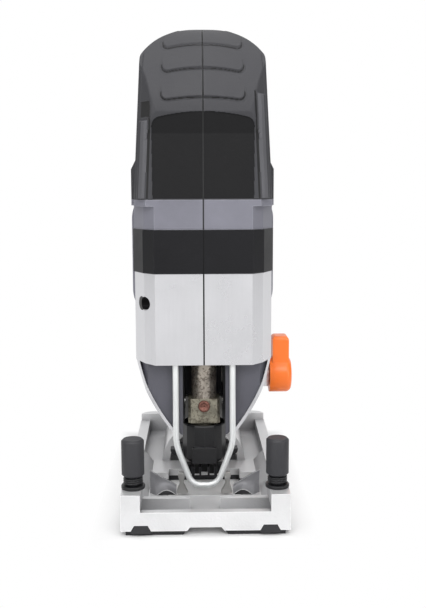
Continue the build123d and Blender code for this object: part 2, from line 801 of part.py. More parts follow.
def gear_frame():
    """Casting that carries the bushes, the gear axle, the front bearing and the saddle foot."""
    back = FRAME_Y + FRAME_T
    outline = [
        (FRAME_FOOT_W, SLAB_Z),
        (FRAME_HALF_W, HEAD_Z + 2 * WALL),
        (FRAME_HALF_W, FRAME_TOP),
    ]
    frame = prism_y(polygon(mirrored(outline)), FRAME_Y, back)
    arm_half = CHANNEL_W / 2 - RUN
    arm_front = PLUNGER_Y - ROD_R - BUSH_T - ARM_LIP
    for z in (LOWER_BUSH_Z, UPPER_BUSH_Z):
        arm = block(-arm_half, arm_half, arm_front, FRAME_Y, z, z + BUSH_H)
        frame += arm - rod_z(0, PLUNGER_Y, ROD_R + BUSH_T + FIT, z, z + BUSH_H)
    foot_back = FOOT_Y + FOOT_LEN
    frame += block(-SLAB_W / 2, SLAB_W / 2, FRAME_Y, foot_back, SLAB_Z, SLAB_Z + SLAB_T)
    foot_half = SKIRT_LOW_W / 2 - SKIRT_WALL - RUN
    frame += block(-foot_half, foot_half, FOOT_Y, foot_back, BEVEL_Z, SLAB_Z)
    frame -= rod_y(0, BEVEL_Z, SADDLE_R, FOOT_Y - OVER, foot_back + OVER)
    for side in (-1, 1):
        x0, x1 = sorted((side * ear_inner(), side * (ear_inner() + EAR_T)))
        ear_low = FORK_PIVOT_Z - 2 * FORK_PIN_R
        frame += block(x0, x1, FORK_PIVOT_Y - 2 * FORK_PIN_R, back, ear_low, SLAB_Z)
    frame -= rod_x(FORK_PIVOT_Y, FORK_PIVOT_Z, FORK_PIN_R + FIT, -FAR, FAR)
    frame -= rod_x(LEVER_Y, LEVER_Z, CAM_SHAFT_R + FIT, 0, FAR)
    frame -= rod_y(0, MOTOR_Z, BEARING_R + FIT, FRAME_Y, back)
    frame -= rod_y(0, GEAR_Z, AXLE_R + FIT, FRAME_Y, back)
    return frame - rod_z(0, bevel_bolt_y(), BEVEL_BOLT_R + FIT, 0, bevel_bolt_top() + RUN)


def ear_inner():
    return FORK_GAP / 2 + FORK_ARM_T + RUN


def bevel_bolt_y():
    return FOOT_Y + FOOT_LEN / 2


def bevel_bolt_top():
    return clamp_plate_z() + BEVEL_GRIP


def clamp_plate_z():
    """Flat underside of the curved clamp plate inside the dome."""
    reach = DOME_R - DOME_T - SADDLE_GAP
    return BEVEL_Z + sqrt(reach**2 - (CLAMP_PLATE_W / 2) ** 2) - CLAMP_PLATE_T


def bevel_clamp_plate():
    reach = DOME_R - DOME_T - SADDLE_GAP
    y = bevel_bolt_y()
    half = CLAMP_PLATE_LEN / 2
    bar = rod_y(0, BEVEL_Z, reach, y - half, y + half)
    bar &= block(-CLAMP_PLATE_W / 2, CLAMP_PLATE_W / 2, -FAR, FAR, clamp_plate_z(), FAR)
    return bar - rod_z(0, y, BEVEL_BOLT_R + FIT, 0, FAR)


def bevel_clamp_bolt():
    z = clamp_plate_z() - FIT
    y = bevel_bolt_y()
    head = rod_z(0, y, BEVEL_HEAD_R, z - BEVEL_HEAD_H, z)
    socket = extrude(RegularPolygon(BEVEL_HEAD_R / 2, 6), amount=BEVEL_HEAD_H / 2)
    socket = Pos(0, y, z - BEVEL_HEAD_H) * socket
    return head - socket + rod_z(0, y, BEVEL_BOLT_R, z, bevel_bolt_top())


def guide_bush(z):
    outer = rod_z(0, PLUNGER_Y, ROD_R + BUSH_T, z, z + BUSH_H)
    return outer - rod_z(0, PLUNGER_Y, ROD_R + FIT, z, z + BUSH_H)


def gear_outline(teeth, phase):
    """Straight-flanked tooth ring of one gear, thinned for backlash."""
    pitch_r = GEAR_MODULE * teeth / 2
    tip_r = pitch_r + TOOTH_TIP * GEAR_MODULE
    root_r = pitch_r - TOOTH_ROOT * GEAR_MODULE
    step = 2 * pi / teeth
    root_half = step * TOOTH_SHARE * ROOT_SHARE
    tip_half = step * TOOTH_SHARE * TIP_SHARE
    points = []
    for i in range(teeth):
        mid = phase + i * step
        for r, a in ((root_r, -root_half), (tip_r, -tip_half), (tip_r, tip_half), (root_r, root_half)):
            points.append((r * cos(mid + a), r * sin(mid + a)))
    return polygon(points)


def drive_pinion():
    face = gear_outline(PINION_TEETH, -pi / 2)
    y1 = GEAR_FRONT + (GEAR_FACE + PINION_FACE) / 2
    teeth = prism_y(Pos(0, MOTOR_Z) * face, y1 - PINION_FACE, y1)
    return teeth - rod_y(0, MOTOR_Z, SHAFT_NOSE_R + FIT / 2, -FAR, FAR)


def drive_gear():
    face = gear_outline(GEAR_TEETH, pi / 2 + pi / GEAR_TEETH)
    disc = prism_y(Pos(0, GEAR_Z) * face, GEAR_FRONT, GEAR_FRONT + GEAR_FACE)
    disc -= rod_y(0, GEAR_Z, AXLE_R + FIT, -FAR, FAR)
    disc -= rod_y(0, PIN_Z, CRANK_PIN_R + FIT / 2, GEAR_FRONT, GEAR_FRONT + GEAR_FACE)
    for deg in GEAR_HOLES_DEG:
        x = (CRANK_R + OVER) * cos(radians(deg))
        z = GEAR_Z + (CRANK_R + OVER) * sin(radians(deg))
        disc -= rod_y(x, z, CRANK_PIN_R, -FAR, FAR)
    return disc


def gear_axle():
    back = FRAME_Y + FRAME_T
    pin = rod_y(0, GEAR_Z, AXLE_R, GEAR_FRONT, back)
    cap_r = CRANK_R - CRANK_ROLLER_R - RUN
    collar = rod_y(0, GEAR_Z, AXLE_R + 2 * RUN, GEAR_FRONT + GEAR_FACE + SEAT, FRAME_Y - FIT)
    cap = rod_y(0, GEAR_Z, cap_r, GEAR_FRONT - RUN - AXLE_CAP_T, GEAR_FRONT - SEAT)
    return pin + cap + rod_y(0, GEAR_Z, AXLE_R, GEAR_FRONT - RUN, GEAR_FRONT) + collar


def crank_pin():
    return rod_y(0, PIN_Z, CRANK_PIN_R, YOKE_BACK + LINK_GAP, GEAR_FRONT + GEAR_FACE)


def crank_roller():
    front = YOKE_BACK + LINK_GAP
    ring = rod_y(0, PIN_Z, CRANK_ROLLER_R, front, front + CRANK_ROLLER_W)
    return ring - rod_y(0, PIN_Z, CRANK_PIN_R + FIT / 2, -FAR, FAR)


def crosshead_yoke():
    slot_h = CRANK_ROLLER_R + RUN / 2
    slot_w = CRANK_R + CRANK_ROLLER_R + RUN
    outer = Pos(0, PIN_Z) * RectangleRounded(2 * (slot_w + YOKE_RIM), 2 * (slot_h + YOKE_RIM), YOKE_RIM)
    slot = Pos(0, PIN_Z) * RectangleRounded(2 * slot_w, 2 * slot_h, slot_h - FIT)
    return prism_y(outer, YOKE_FRONT, YOKE_BACK) - prism_y(slot, YOKE_FRONT, YOKE_BACK)


def plunger_rod():
    rod = rod_z(0, PLUNGER_Y, ROD_R, CLAMP_TOP, ROD_TOP)
    half = CRANK_ROLLER_R + RUN / 2 + YOKE_RIM
    return rod - block(-FAR, FAR, YOKE_FRONT, FAR, PIN_Z - half, PIN_Z + half)


def blade_clamp_block():
    y0 = PLUNGER_Y - CLAMP_D / 2
    y1 = PLUNGER_Y + CLAMP_D / 2
    body = block(-CLAMP_W / 2, CLAMP_W / 2, y0, y1, CLAMP_Z, CLAMP_TOP)
    body = chamfer(body.edges().filter_by(Axis.Z), CLAMP_W / 12)
    body += rod_z(0, PLUNGER_Y, SPIGOT_R, COLLAR_Z, CLAMP_Z)
    s0 = PLUNGER_Y - BLADE_W / 2
    slot = block(-BLADE_T / 2, BLADE_T / 2, s0, s0 + BLADE_W, 0, COLLAR_Z + BLADE_DEPTH)
    return body - slot - rod_y(0, rivet_z(), RIVET_R / 2 + FIT / 2, -FAR, PLUNGER_Y)


def rivet_z():
    return CLAMP_Z + RIVET_RISE


def clamp_rivet():
    face = PLUNGER_Y - CLAMP_D / 2
    cap = rod_y(0, rivet_z(), RIVET_R, face - RIVET_PROUD, face)
    cap = fillet(cap.edges().group_by(Axis.Y)[0], RIVET_PROUD * 0.8)
    return cap + rod_y(0, rivet_z(), RIVET_R / 2, face, PLUNGER_Y)


def release_collar():
    """Turning collar with two wings; the front tab sits over the wings."""
    top = COLLAR_Z + COLLAR_H
    ring = rod_z(0, PLUNGER_Y, COLLAR_R, COLLAR_Z, top)
    ring = chamfer(ring.edges().group_by(Axis.Z)[0], COLLAR_R / 6)
    wings = block(-WING_SPAN / 2, WING_SPAN / 2, -WING_D / 2, WING_D / 2, WING_Z, WING_Z + WING_H)
    wings = chamfer(wings.edges().group_by(Axis.Z)[0].filter_by(Axis.Y), WING_H * 0.7)
    wings = fillet(wings.edges().filter_by(Axis.Z), WING_D / 3)
    ring += Pos(0, PLUNGER_Y, 0) * wings
    return ring - rod_z(0, PLUNGER_Y, SPIGOT_R + FIT, COLLAR_Z, top)


def roller_fork():
    """Fork that swings on its pivot and carries the guide roller behind the blade."""
    inner = FORK_GAP / 2
    back = FORK_PIVOT_Y + FORK_ARM_D / 2
    front = FORK_PIVOT_Y - FORK_ARM_D / 2
    toe_top = FORK_BOTTOM + FORK_TOE_H
    fork = block(-inner, inner, front, back, FORK_PIVOT_Z - 3 * FORK_ARM_D, FORK_PIVOT_Z - 2 * FORK_ARM_D)
    for x0, x1 in ((-inner - FORK_ARM_T, -inner), (inner, inner + FORK_ARM_T)):
        fork += block(x0, x1, front, back, FORK_BOTTOM, FORK_PIVOT_Z + FORK_ARM_D / 2)
        fork += block(x0, x1, guide_back(), back, FORK_BOTTOM, toe_top)
    fork -= rod_x(FORK_PIVOT_Y, FORK_PIVOT_Z, FORK_PIN_R + FIT, -FAR, FAR)
    return fork - rod_x(ROLLER_Y, roller_z(), ROLLER_PIN_R + FIT / 2, -FAR, FAR)


def guide_back():
    return ROLLER_Y - ROLLER_R - 2 * RUN - FORK_TOE_LIP


def roller_z():
    return FORK_BOTTOM + FORK_TOE_H / 2


def roller_pin():
    half = FORK_GAP / 2 + FORK_ARM_T
    return rod_x(ROLLER_Y, roller_z(), ROLLER_PIN_R, -half, half)


def guide_roller():
    half = min(ROLLER_W, FORK_GAP) / 2
    roller = rod_x(ROLLER_Y, roller_z(), ROLLER_R, -half, half)
    groove = rod_x(ROLLER_Y, roller_z(), FAR, -BLADE_T / 2, BLADE_T / 2)
    groove -= rod_x(ROLLER_Y, roller_z(), ROLLER_R - BLADE_T, -BLADE_T, BLADE_T)
    return roller - groove - rod_x(ROLLER_Y, roller_z(), ROLLER_PIN_R + FIT, -FAR, FAR)


def fork_pin():
    half = ear_inner() + EAR_T
    return rod_x(FORK_PIVOT_Y, FORK_PIVOT_Z, FORK_PIN_R, -half, half)


def blade_guide():
    """Black finned guide in front of the roller, split by the blade slot."""
    back = guide_back() - FIT
    front = back - GUIDE_LEN
    top = FORK_BOTTOM + FORK_TOE_H
    low = FORK_BOTTOM + FORK_TOE_H / 4
    guide = block(-GUIDE_W / 2, GUIDE_W / 2, front + GUIDE_LEN / 2, back, low, top)
    pitch = (GUIDE_W - GUIDE_FIN_T) / (GUIDE_FINS - 1)
    for i in range(GUIDE_FINS):
        x = -GUIDE_W / 2 + i * pitch
        guide += block(x, x + GUIDE_FIN_T, front, back, low, top)
    return guide - block(-BLADE_T, BLADE_T, front, back - GUIDE_LEN / 6, 0, FAR)


def orbit_lever():
    hub = rod_x(LEVER_Y, LEVER_Z, LEVER_HUB_R, LEVER_HUB_X, LEVER_HUB_X + LEVER_HUB_T)
    hub = fillet(hub.edges().group_by(Axis.X)[-1], LEVER_HUB_T / 4)
    arm_x = LEVER_HUB_X + (LEVER_HUB_T - LEVER_ARM_T) / 2
    half = LEVER_ARM_W / 2
    arm = block(arm_x, arm_x + LEVER_ARM_T, LEVER_Y - half, LEVER_Y + half, LEVER_Z, LEVER_Z + LEVER_REACH)
    arm = fillet(arm.edges().group_by(Axis.Z)[-1], LEVER_ARM_T / 4)
    return hub + arm - rod_x(LEVER_Y, LEVER_Z, CAM_SHAFT_R + FIT / 2, 0, LEVER_HUB_X + LEVER_HUB_T / 2)


def orbit_cam_shaft():
    shaft = rod_x(LEVER_Y, LEVER_Z, CAM_SHAFT_R, ear_inner() - RUN, LEVER_HUB_X + LEVER_HUB_T / 2)
    return shaft - block(0, ear_inner() + EAR_T / 2, LEVER_Y - CAM_SHAFT_R, LEVER_Y - CAM_SHAFT_R / 2, 0, FAR)


def base_outline(gap):
    half = BASE_W / 2 - gap
    y0 = BASE_FRONT + gap
    y1 = BASE_BACK - gap
    face = polygon([(-half, y0), (half, y0), (half, y1), (-half, y1)])
    rear = face.vertices().sort_by(Axis.Y)[-2:]
    return fillet(rear, BASE_CORNER_R - gap)


def dome(r):
    return rod_y(0, BEVEL_Z, r, DOME_Y, DOME_Y + DOME_LEN)


def base_plate():
    """Cast base: floor, rims, fence groove, knob blocks, chuck window and bevel dome."""
    half = BASE_W / 2
    plan = base_outline(0)
    tall = prism_z(plan, SOLE_T, BLOCK_H)
    base = prism_z(plan, SOLE_T, FLOOR_Z)
    for side in (-1, 1):
        x0, x1 = sorted((side * (half - RIM_T), side * half))
        base += tall & block(x0, x1, BLOCK_BACK, BASE_BACK, SOLE_T, RIM_H)
        base += knob_block(side)
        base += scoop(side)
    base += tall & block(-half, half, BASE_BACK - REAR_LIP_T, BASE_BACK, SOLE_T, REAR_LIP_H)
    base += block(-half, half, BASE_FRONT, BASE_FRONT + FRONT_WALL_T, SOLE_T, FRONT_WALL_H)
    inner = half - BLOCK_W
    base += block(-inner, inner, GROOVE_BACK, BLOCK_BACK, FLOOR_Z, GROOVE_WALL_H)
    base += (dome(DOME_R) & block(-FAR, FAR, -FAR, FAR, SOLE_T, FAR))
    base -= dome(DOME_R - DOME_T) - block(-FAR, FAR, -FAR, FAR, -FAR, SOLE_T)
    base -= bevel_slot()
    slot = BLADE_SLOT_W / 2
    base -= block(-slot, slot, GROOVE_BACK, BLOCK_BACK, FLOOR_Z, FAR)
    base -= blade_notch()
    for tab in sole_tabs(SEAT):
        base -= tab
    return base - chuck_window(0)


def chuck_window(margin):
    """Opening in the floor: a slot for guard and fork, wide where the collar's wings swing past."""
    slot = WINDOW_SLOT_W / 2 - margin
    wide = WINDOW_W / 2 - margin
    reach = WING_SPAN / 4 + WING_D / 2 - margin
    z1 = FLOOR_Z + OVER
    window = block(-slot, slot, WINDOW_FRONT + margin, WINDOW_BACK, -OVER, z1)
    return window + block(-wide, wide, PLUNGER_Y - reach, PLUNGER_Y + reach, -OVER, z1)


def blade_notch():
    """Splayed slot under the front of the base that the blade line runs through."""
    top = BLADE_SLOT_W / 2
    low = top + NOTCH_SPLAY
    outline = [(-low, 0), (low, 0), (top, NOTCH_H), (-top, NOTCH_H)]
    return prism_y(polygon(outline), BASE_FRONT, WINDOW_FRONT)


def sole_tabs(gap):
    """Two clips of the sole that hook up over the front face of the base."""
    tabs = []
    for x in (-TAB_X, TAB_X):
        low = TAB_W / 2 + gap
        top = TAB_W / 3 + gap
        outline = [(x - low, SOLE_T), (x + low, SOLE_T), (x + top, TAB_H + gap), (x - top, TAB_H + gap)]
        tabs.append(prism_y(polygon(outline), BASE_FRONT, BASE_FRONT + TAB_T + gap))
    return tabs


def knob_block(side):
    """Post with the fence tunnel through it and the stud hole from above."""
    half = BASE_W / 2
    x0, x1 = sorted((side * (half - BLOCK_W), side * half))
    post = block(x0, x1, BASE_FRONT, BLOCK_BACK, SOLE_T, BLOCK_H)
    post -= block(-FAR, FAR, BASE_FRONT + FRONT_WALL_T, GROOVE_BACK, FLOOR_Z, FLOOR_Z + GROOVE_H)
    return post - rod_z(side * KNOB_X, KNOB_Y, STUD_R + FIT, FLOOR_Z, FAR)


def scoop(side):
    """Sloped shelf between the chuck window and the rim."""
    x_in = side * (WINDOW_W / 2)
    x_out = side * (BASE_W / 2 - RIM_T)
    outline = [(x_in, SOLE_T), (x_out, SOLE_T), (x_out, FLOOR_Z + SCOOP_RISE), (x_in, FLOOR_Z)]
    return prism_y(polygon(outline), BLOCK_BACK, DOME_Y)


def bevel_slot():
    """Arc slot in the dome for the clamp bolt over the whole tilt."""
    reach = radians(BEVEL_DEG + BEVEL_SLOT_OVER)
    far = 3 * DOME_R
    side = far * sin(reach)
    high = BEVEL_Z + far * cos(reach)
    wedge = polygon([(0, BEVEL_Z), (side, high), (0, BEVEL_Z + 2 * far), (-side, high)])
    y = bevel_bolt_y()
    half = BEVEL_BOLT_R + RUN
    return prism_y(wedge, y - half, y + half)


def sole_plate():
    """Black glide plate under the base, open at the blade slot, the window and the clamp bolt."""
    sole = prism_z(base_outline(SOLE_EDGE), 0, SOLE_T)
    for tab in sole_tabs(0):
        root = tab.bounding_box()
        sole += tab + block(root.min.X, root.max.X, BASE_FRONT, BASE_FRONT + SOLE_EDGE, SOLE_T / 2, SOLE_T)
    sole -= blade_notch()
    sole -= chuck_window(SOLE_MARGIN)
    access = SOLE_ACCESS_W / 2
    y = bevel_bolt_y()
    return sole - block(-access, access, y - access, y + access, -OVER, FAR)


def fence_knob(side):
    x = side * KNOB_X
    cap = rod_z(x, KNOB_Y, KNOB_R, KNOB_Z, KNOB_Z + KNOB_H)
    ends = cap.edges().group_by(Axis.Z)
    cap = chamfer(ends[0] + ends[-1], KNOB_CHAMFER)
    cap += rod_z(x, KNOB_Y, NECK_R, BLOCK_H + WASHER_T + SEAT, KNOB_Z)
    return cap + rod_z(x, KNOB_Y, STUD_R, FLOOR_Z + GROOVE_H + RUN, KNOB_Z)


def knob_washers():
    washers = []
    for side in (-1, 1):
        disc = rod_z(side * KNOB_X, KNOB_Y, WASHER_R, BLOCK_H, BLOCK_H + WASHER_T)
        washers.append(disc - rod_z(side * KNOB_X, KNOB_Y, STUD_R + FIT, 0, FAR))
    return Compound(children=washers)


def knob_springs():
    """Coils between knob and washer, as rings with a gap between turns."""
    low = BLOCK_H + WASHER_T + SPRING_WIRE / 2 + FIT
    pitch = (NECK_H - SPRING_WIRE - 3 * SEAT) / (SPRING_COILS - 1)
    ring_r = NECK_R + SPRING_WIRE / 2 + RUN
    coils = []
    for side in (-1, 1):
        for i in range(SPRING_COILS):
            coils.append(Pos(side * KNOB_X, KNOB_Y, low + i * pitch) * Torus(ring_r, SPRING_WIRE / 2))
    return Compound(children=coils)


def motor_ring(r_out, r_in, y0, y1):
    return rod_y(0, MOTOR_Z, r_out, y0, y1) - rod_y(0, MOTOR_Z, r_in, y0, y1)


def coil_sectors(r_in, r_out, y0, y1, grow):
    """Two field windings on the left and the right of the armature."""
    ring = motor_ring(r_out, r_in, y0, y1)
    rise = tan(radians(COIL_HALF_DEG)) * FAR
    sectors = []
    for side in (-1, 1):
        wedge = polygon([(0, MOTOR_Z), (side * FAR, MOTOR_Z - rise), (side * FAR, MOTOR_Z + rise)])
        sectors.append(ring & prism_y(inset(wedge, -grow), y0, y1))
    return sectors


def stator_core():
    y1 = STATOR_Y + STATOR_LEN
    core = motor_ring(STATOR_R, STATOR_BORE_R, STATOR_Y, y1)
    for sector in coil_sectors(COIL_R_IN - SEAT, COIL_R_OUT + SEAT, STATOR_Y, y1, SEAT):
        core -= sector
    return core


def field_coils():
    y0 = STATOR_Y - COIL_OVERHANG
    y1 = STATOR_Y + STATOR_LEN + COIL_OVERHANG
    return Compound(children=coil_sectors(COIL_R_IN, COIL_R_OUT, y0, y1, 0))


def armature_shaft():
    shaft = rod_y(0, MOTOR_Z, SHAFT_R, FRAME_Y, REAR_WEB_Y + REAR_BEARING_T)
    nose_y = GEAR_FRONT + (GEAR_FACE - PINION_FACE) / 2
    return shaft + rod_y(0, MOTOR_Z, SHAFT_NOSE_R, nose_y, FRAME_Y)


def armature_core():
    y1 = STATOR_Y + STATOR_LEN
    core = motor_ring(CORE_R, SHAFT_R + FIT / 2, STATOR_Y, y1)
    for i in range(CORE_SLOTS):
        turn = Pos(0, 0, MOTOR_Z) * Rot(0, i * 360 / CORE_SLOTS, 0)
        half = CORE_SLOT_W / 2
        core -= turn * block(-half, half, STATOR_Y, y1, CORE_R - CORE_SLOT_D, CORE_R + OVER)
    return core


def commutator():
    y1 = COMM_Y + COMM_LEN
    ring = motor_ring(COMM_R, SHAFT_R + FIT / 2, COMM_Y, y1)
    for i in range(COMM_BARS):
        turn = Pos(0, 0, MOTOR_Z) * Rot(0, (i + 0.5) * 360 / COMM_BARS, 0)
        half = COMM_GAP / 2
        ring -= turn * block(-half, half, COMM_Y, y1, COMM_R - COMM_GAP_D, COMM_R + OVER)
    return ring


def cooling_fan():
    fan = motor_ring(FAN_R, SHAFT_R + FIT / 2, FAN_Y, FAN_Y + FAN_T / 5)
    fan += motor_ring(FAN_R / 3, SHAFT_R + FIT / 2, FAN_Y, FAN_Y + FAN_T)
    for i in range(FAN_BLADES):
        turn = Pos(0, 0, MOTOR_Z) * Rot(0, i * 360 / FAN_BLADES, 0)
        half = FAN_BLADE_T / 2
        fan += turn * block(-half, half, FAN_Y, FAN_Y + FAN_T, FAN_R / 2, FAN_R - RUN)
    return fan


def bearing(r, y0, thick):
    """Sealed ball bearing with a shallow groove in both faces."""
    ring = motor_ring(r, SHAFT_R + FIT / 2, y0, y0 + thick)
    mid = (r + SHAFT_R) / 2
    half = BEARING_SEAL_W / 2
    groove = motor_ring(mid + half, mid - half, y0, y0 + thick / 6)
    return ring - groove - Pos(0, thick * 5 / 6, 0) * groove


def brush_y():
    return COMM_Y + COMM_LEN / 2


def carbon_brushes():
    brushes = []
    y = brush_y()
    for side in (-1, 1):
        x0, x1 = sorted((side * (COMM_R + SEAT), side * (COMM_R + SEAT + BRUSH_LEN)))
        z0 = MOTOR_Z - BRUSH_H / 2
        brushes.append(block(x0, x1, y - BRUSH_W / 2, y + BRUSH_W / 2, z0, z0 + BRUSH_H))
    return Compound(children=brushes)


def brush_holders():
    """Boxes from the housing wall that guide the brushes."""
    holders = []
    y = brush_y()
    wall_x = BODY_W / 2 - WALL
    for side in (-1, 1):
        x0, x1 = sorted((side * (COMM_R + 2 * WALL / 3), side * (wall_x - FIT)))
        half_y = BRUSH_W / 2 + HOLDER_T
        half_z = BRUSH_H / 2 + HOLDER_T
        box = block(x0, x1, y - half_y, y + half_y, MOTOR_Z - half_z, MOTOR_Z + half_z)
        hole_y = BRUSH_W / 2 + FIT
        hole_z = BRUSH_H / 2 + FIT
        end = COMM_R + BRUSH_LEN + 2 * SEAT
        h0, h1 = sorted((side * COMM_R, side * end))
        holders.append(box - block(h0, h1, y - hole_y, y + hole_y, MOTOR_Z - hole_z, MOTOR_Z + hole_z))
    return Compound(children=holders)


def trigger_top():
    return GRIP_Z + GRIP_WALL + SEAT + TRIGGER_FLANGE


def trigger():
    half = TRIGGER_W / 2
    y1 = TRIGGER_Y + TRIGGER_LEN
    paddle = block(-half, half, TRIGGER_Y, y1, GRIP_Z - TRIGGER_DROP, trigger_top())
    front = paddle.edges().group_by(Axis.Z)[0]
    paddle = fillet(front, TRIGGER_DROP / 3)
    flat = GRIP_W / 2 - GRIP_R
    over = TRIGGER_FLANGE + RUN
    return paddle + block(-flat, flat, TRIGGER_Y - over, y1 + over, GRIP_Z + GRIP_WALL + SEAT, trigger_top())


def switch_body():
    z = trigger_top() + TRIGGER_TRAVEL + RUN
    y0 = TRIGGER_Y - WALL
    tab_y = y0 + SWITCH_LEN
    body = block(-SWITCH_W / 2, SWITCH_W / 2, y0, tab_y, z, z + SWITCH_H)
    wall_x = GRIP_REAR_W / 2 - GRIP_WALL - SEAT
    return body + block(-wall_x, wall_x, tab_y - WALL, tab_y, z + WALL, z + SWITCH_H - WALL)


def grip_half_w(y):
    """Half width of the grip's flank at station y."""
    share = (y - NOSE_CROWN_Y) / (GRIP_END - NOSE_CROWN_Y)
    return (GRIP_W + (GRIP_REAR_W - GRIP_W) * share) / 2


def lock_button():
    outer = grip_half_w(BUTTON_Y)
    wall_x = outer - GRIP_WALL - 2 * SEAT
    cap = rod_x(BUTTON_Y, button_z(), BUTTON_R, -outer - BUTTON_PROUD, -wall_x)
    cap = chamfer(cap.edges().group_by(Axis.X)[0], BUTTON_PROUD / 4)
    return cap + rod_x(BUTTON_Y, button_z(), BUTTON_R + BUTTON_FLANGE, -wall_x, BUTTON_FLANGE - wall_x)


def speed_dial():
    half = DIAL_W / 2
    wheel = rod_x(DIAL_Y, DIAL_Z, DIAL_R, -half, half)
    for i in range(DIAL_FLUTES):
        a = 2 * pi * i / DIAL_FLUTES
        y = DIAL_Y + DIAL_R * cos(a)
        z = DIAL_Z + DIAL_R * sin(a)
        wheel -= rod_x(y, z, DIAL_FLUTE_R, -FAR, FAR)
    return wheel - rod_x(DIAL_Y, DIAL_Z, DIAL_PIN_R + FIT, -FAR, FAR)


def speed_control():
    """Bracket with the pin that the speed dial turns on."""
    inner = DIAL_W / 2 + RUN
    outer = inner + DIAL_CHEEK_T
    front = PILLAR_Y - PILLAR_D / 2 + GRIP_WALL + SEAT
    back = DIAL_Y - DIAL_R - RUN
    bracket = block(-outer, outer, front, back, DIAL_Z - DIAL_R, DIAL_Z + DIAL_R)
    for x0, x1 in ((-outer, -inner), (inner, outer)):
        bracket += block(x0, x1, front, DIAL_Y + 2 * DIAL_PIN_R, DIAL_Z - DIAL_R / 2, DIAL_Z + DIAL_R / 2)
    return bracket + rod_x(DIAL_Y, DIAL_Z, DIAL_PIN_R, -outer, outer)


def cord_gland():
    """Inlet bush for the mains lead in the rear wall of the handle."""
    z = gland_z()
    neck = rod_y(0, z, GLAND_R, PILLAR_BACK - 2 * GRIP_WALL, PILLAR_BACK + GLAND_FLANGE_T)
    flange = rod_y(0, z, GLAND_FLANGE_R, PILLAR_BACK + FIT, PILLAR_BACK + GLAND_FLANGE_T)
    bush = neck + fillet(flange.edges().group_by(Axis.Y)[-1], GLAND_FLANGE_T / 3)
    return bush - rod_y(0, z, GLAND_BORE_R, -FAR, FAR)


def all_pieces():
    pieces = {
        "finger_guard": finger_guard(),
        "gear_frame": gear_frame(),
        "upper_guide_bush": guide_bush(UPPER_BUSH_Z),
        "lower_guide_bush": guide_bush(LOWER_BUSH_Z),
        "housing_screws": housing_screws(),
        "bevel_clamp_plate": bevel_clamp_plate(),
        "bevel_clamp_bolt": bevel_clamp_bolt(),
        "gear_axle": gear_axle(),
        "fork_pin": fork_pin(),
        "stator_core": stator_core(),
        "field_coils": field_coils(),
        "front_bearing": bearing(BEARING_R, FRAME_Y, BEARING_T),
        "rear_bearing": bearing(REAR_BEARING_R, REAR_WEB_Y, REAR_BEARING_T),
        "brush_holders": brush_holders(),
        "carbon_brushes": carbon_brushes(),
        "switch_body": switch_body(),
        "speed_control": speed_control(),
        "cord_gland": cord_gland(),
        "armature_shaft": armature_shaft(),
        "armature_core": armature_core(),
        "commutator": commutator(),
        "cooling_fan": cooling_fan(),
        "drive_pinion": drive_pinion(),
        "drive_gear": drive_gear(),
        "crank_pin": crank_pin(),
        "crank_roller": crank_roller(),
        "plunger_rod": plunger_rod(),
        "crosshead_yoke": crosshead_yoke(),
        "blade_clamp_block": blade_clamp_block(),
        "clamp_rivet": clamp_rivet(),
        "release_collar": release_collar(),
        "roller_fork": roller_fork(),
        "roller_pin": roller_pin(),
        "guide_roller": guide_roller(),
        "blade_guide": blade_guide(),
        "orbit_lever": orbit_lever(),
        "orbit_cam_shaft": orbit_cam_shaft(),
        "base_plate": base_plate(),
        "sole_plate": sole_plate(),
        "knob_washers": knob_washers(),
        "knob_springs": knob_springs(),
        "fence_knob_left": fence_knob(-1),
        "fence_knob_right": fence_knob(1),
        "trigger": trigger(),
        "lock_button": lock_button(),
        "speed_dial": speed_dial(),
    }
    pieces.update(body_pieces())
    pieces.update(band_pieces())
    pieces.update(panel_pieces())
    pieces.update(side_pads())
    return pieces


os.makedirs("parts", exist_ok=True)
for node, piece in all_pieces().items():
    export_step(piece, "parts/" + node + ".step")
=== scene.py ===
import math

import bmesh
import bpy
from mathutils import Euler, Matrix, Vector
from mathutils.bvhtree import BVHTree


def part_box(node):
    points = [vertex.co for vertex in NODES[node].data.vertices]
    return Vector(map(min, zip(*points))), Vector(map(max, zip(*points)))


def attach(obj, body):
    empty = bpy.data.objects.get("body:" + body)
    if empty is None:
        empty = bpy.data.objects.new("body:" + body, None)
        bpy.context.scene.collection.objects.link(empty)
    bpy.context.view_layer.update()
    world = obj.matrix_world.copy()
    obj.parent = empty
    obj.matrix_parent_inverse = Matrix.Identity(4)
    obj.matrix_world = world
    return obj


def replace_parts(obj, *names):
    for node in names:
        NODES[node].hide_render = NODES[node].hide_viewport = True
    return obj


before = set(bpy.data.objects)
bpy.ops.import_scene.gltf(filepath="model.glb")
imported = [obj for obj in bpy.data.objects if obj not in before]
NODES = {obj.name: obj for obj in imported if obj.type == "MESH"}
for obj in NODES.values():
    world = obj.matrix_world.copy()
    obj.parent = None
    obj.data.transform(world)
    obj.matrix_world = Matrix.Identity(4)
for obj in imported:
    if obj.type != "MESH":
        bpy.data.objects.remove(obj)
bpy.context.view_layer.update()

MM = 0.001

# Camera: straight at the blade end, a little above the middle
CAMERA_PLACE = (-0.004, -0.435, 0.1504)
CAMERA_PITCH_DEG = 7.5
CAMERA_YAW_DEG = 1.2
CAMERA_ROLL_DEG = 0.2
CAMERA_LENS_MM = 50.3
CAMERA_SENSOR_MM = 36.0
CAMERA_NEAR = 10.0 * MM

# Light
SKY_STRENGTH = 0.5
GLOSS_STRENGTH = 1.0
SIDE_SHADE_FROM = 0.7
SIDE_SHADE = 0.12
SHADOW_REACH = 14.0 * MM
WHITE = (1.0, 1.0, 1.0, 1.0)
FLOOR_HALF = 4.0
FLOOR_WHITE = (0.9, 0.9, 0.9, 1.0)
FLOOR_ROUGH = 0.9

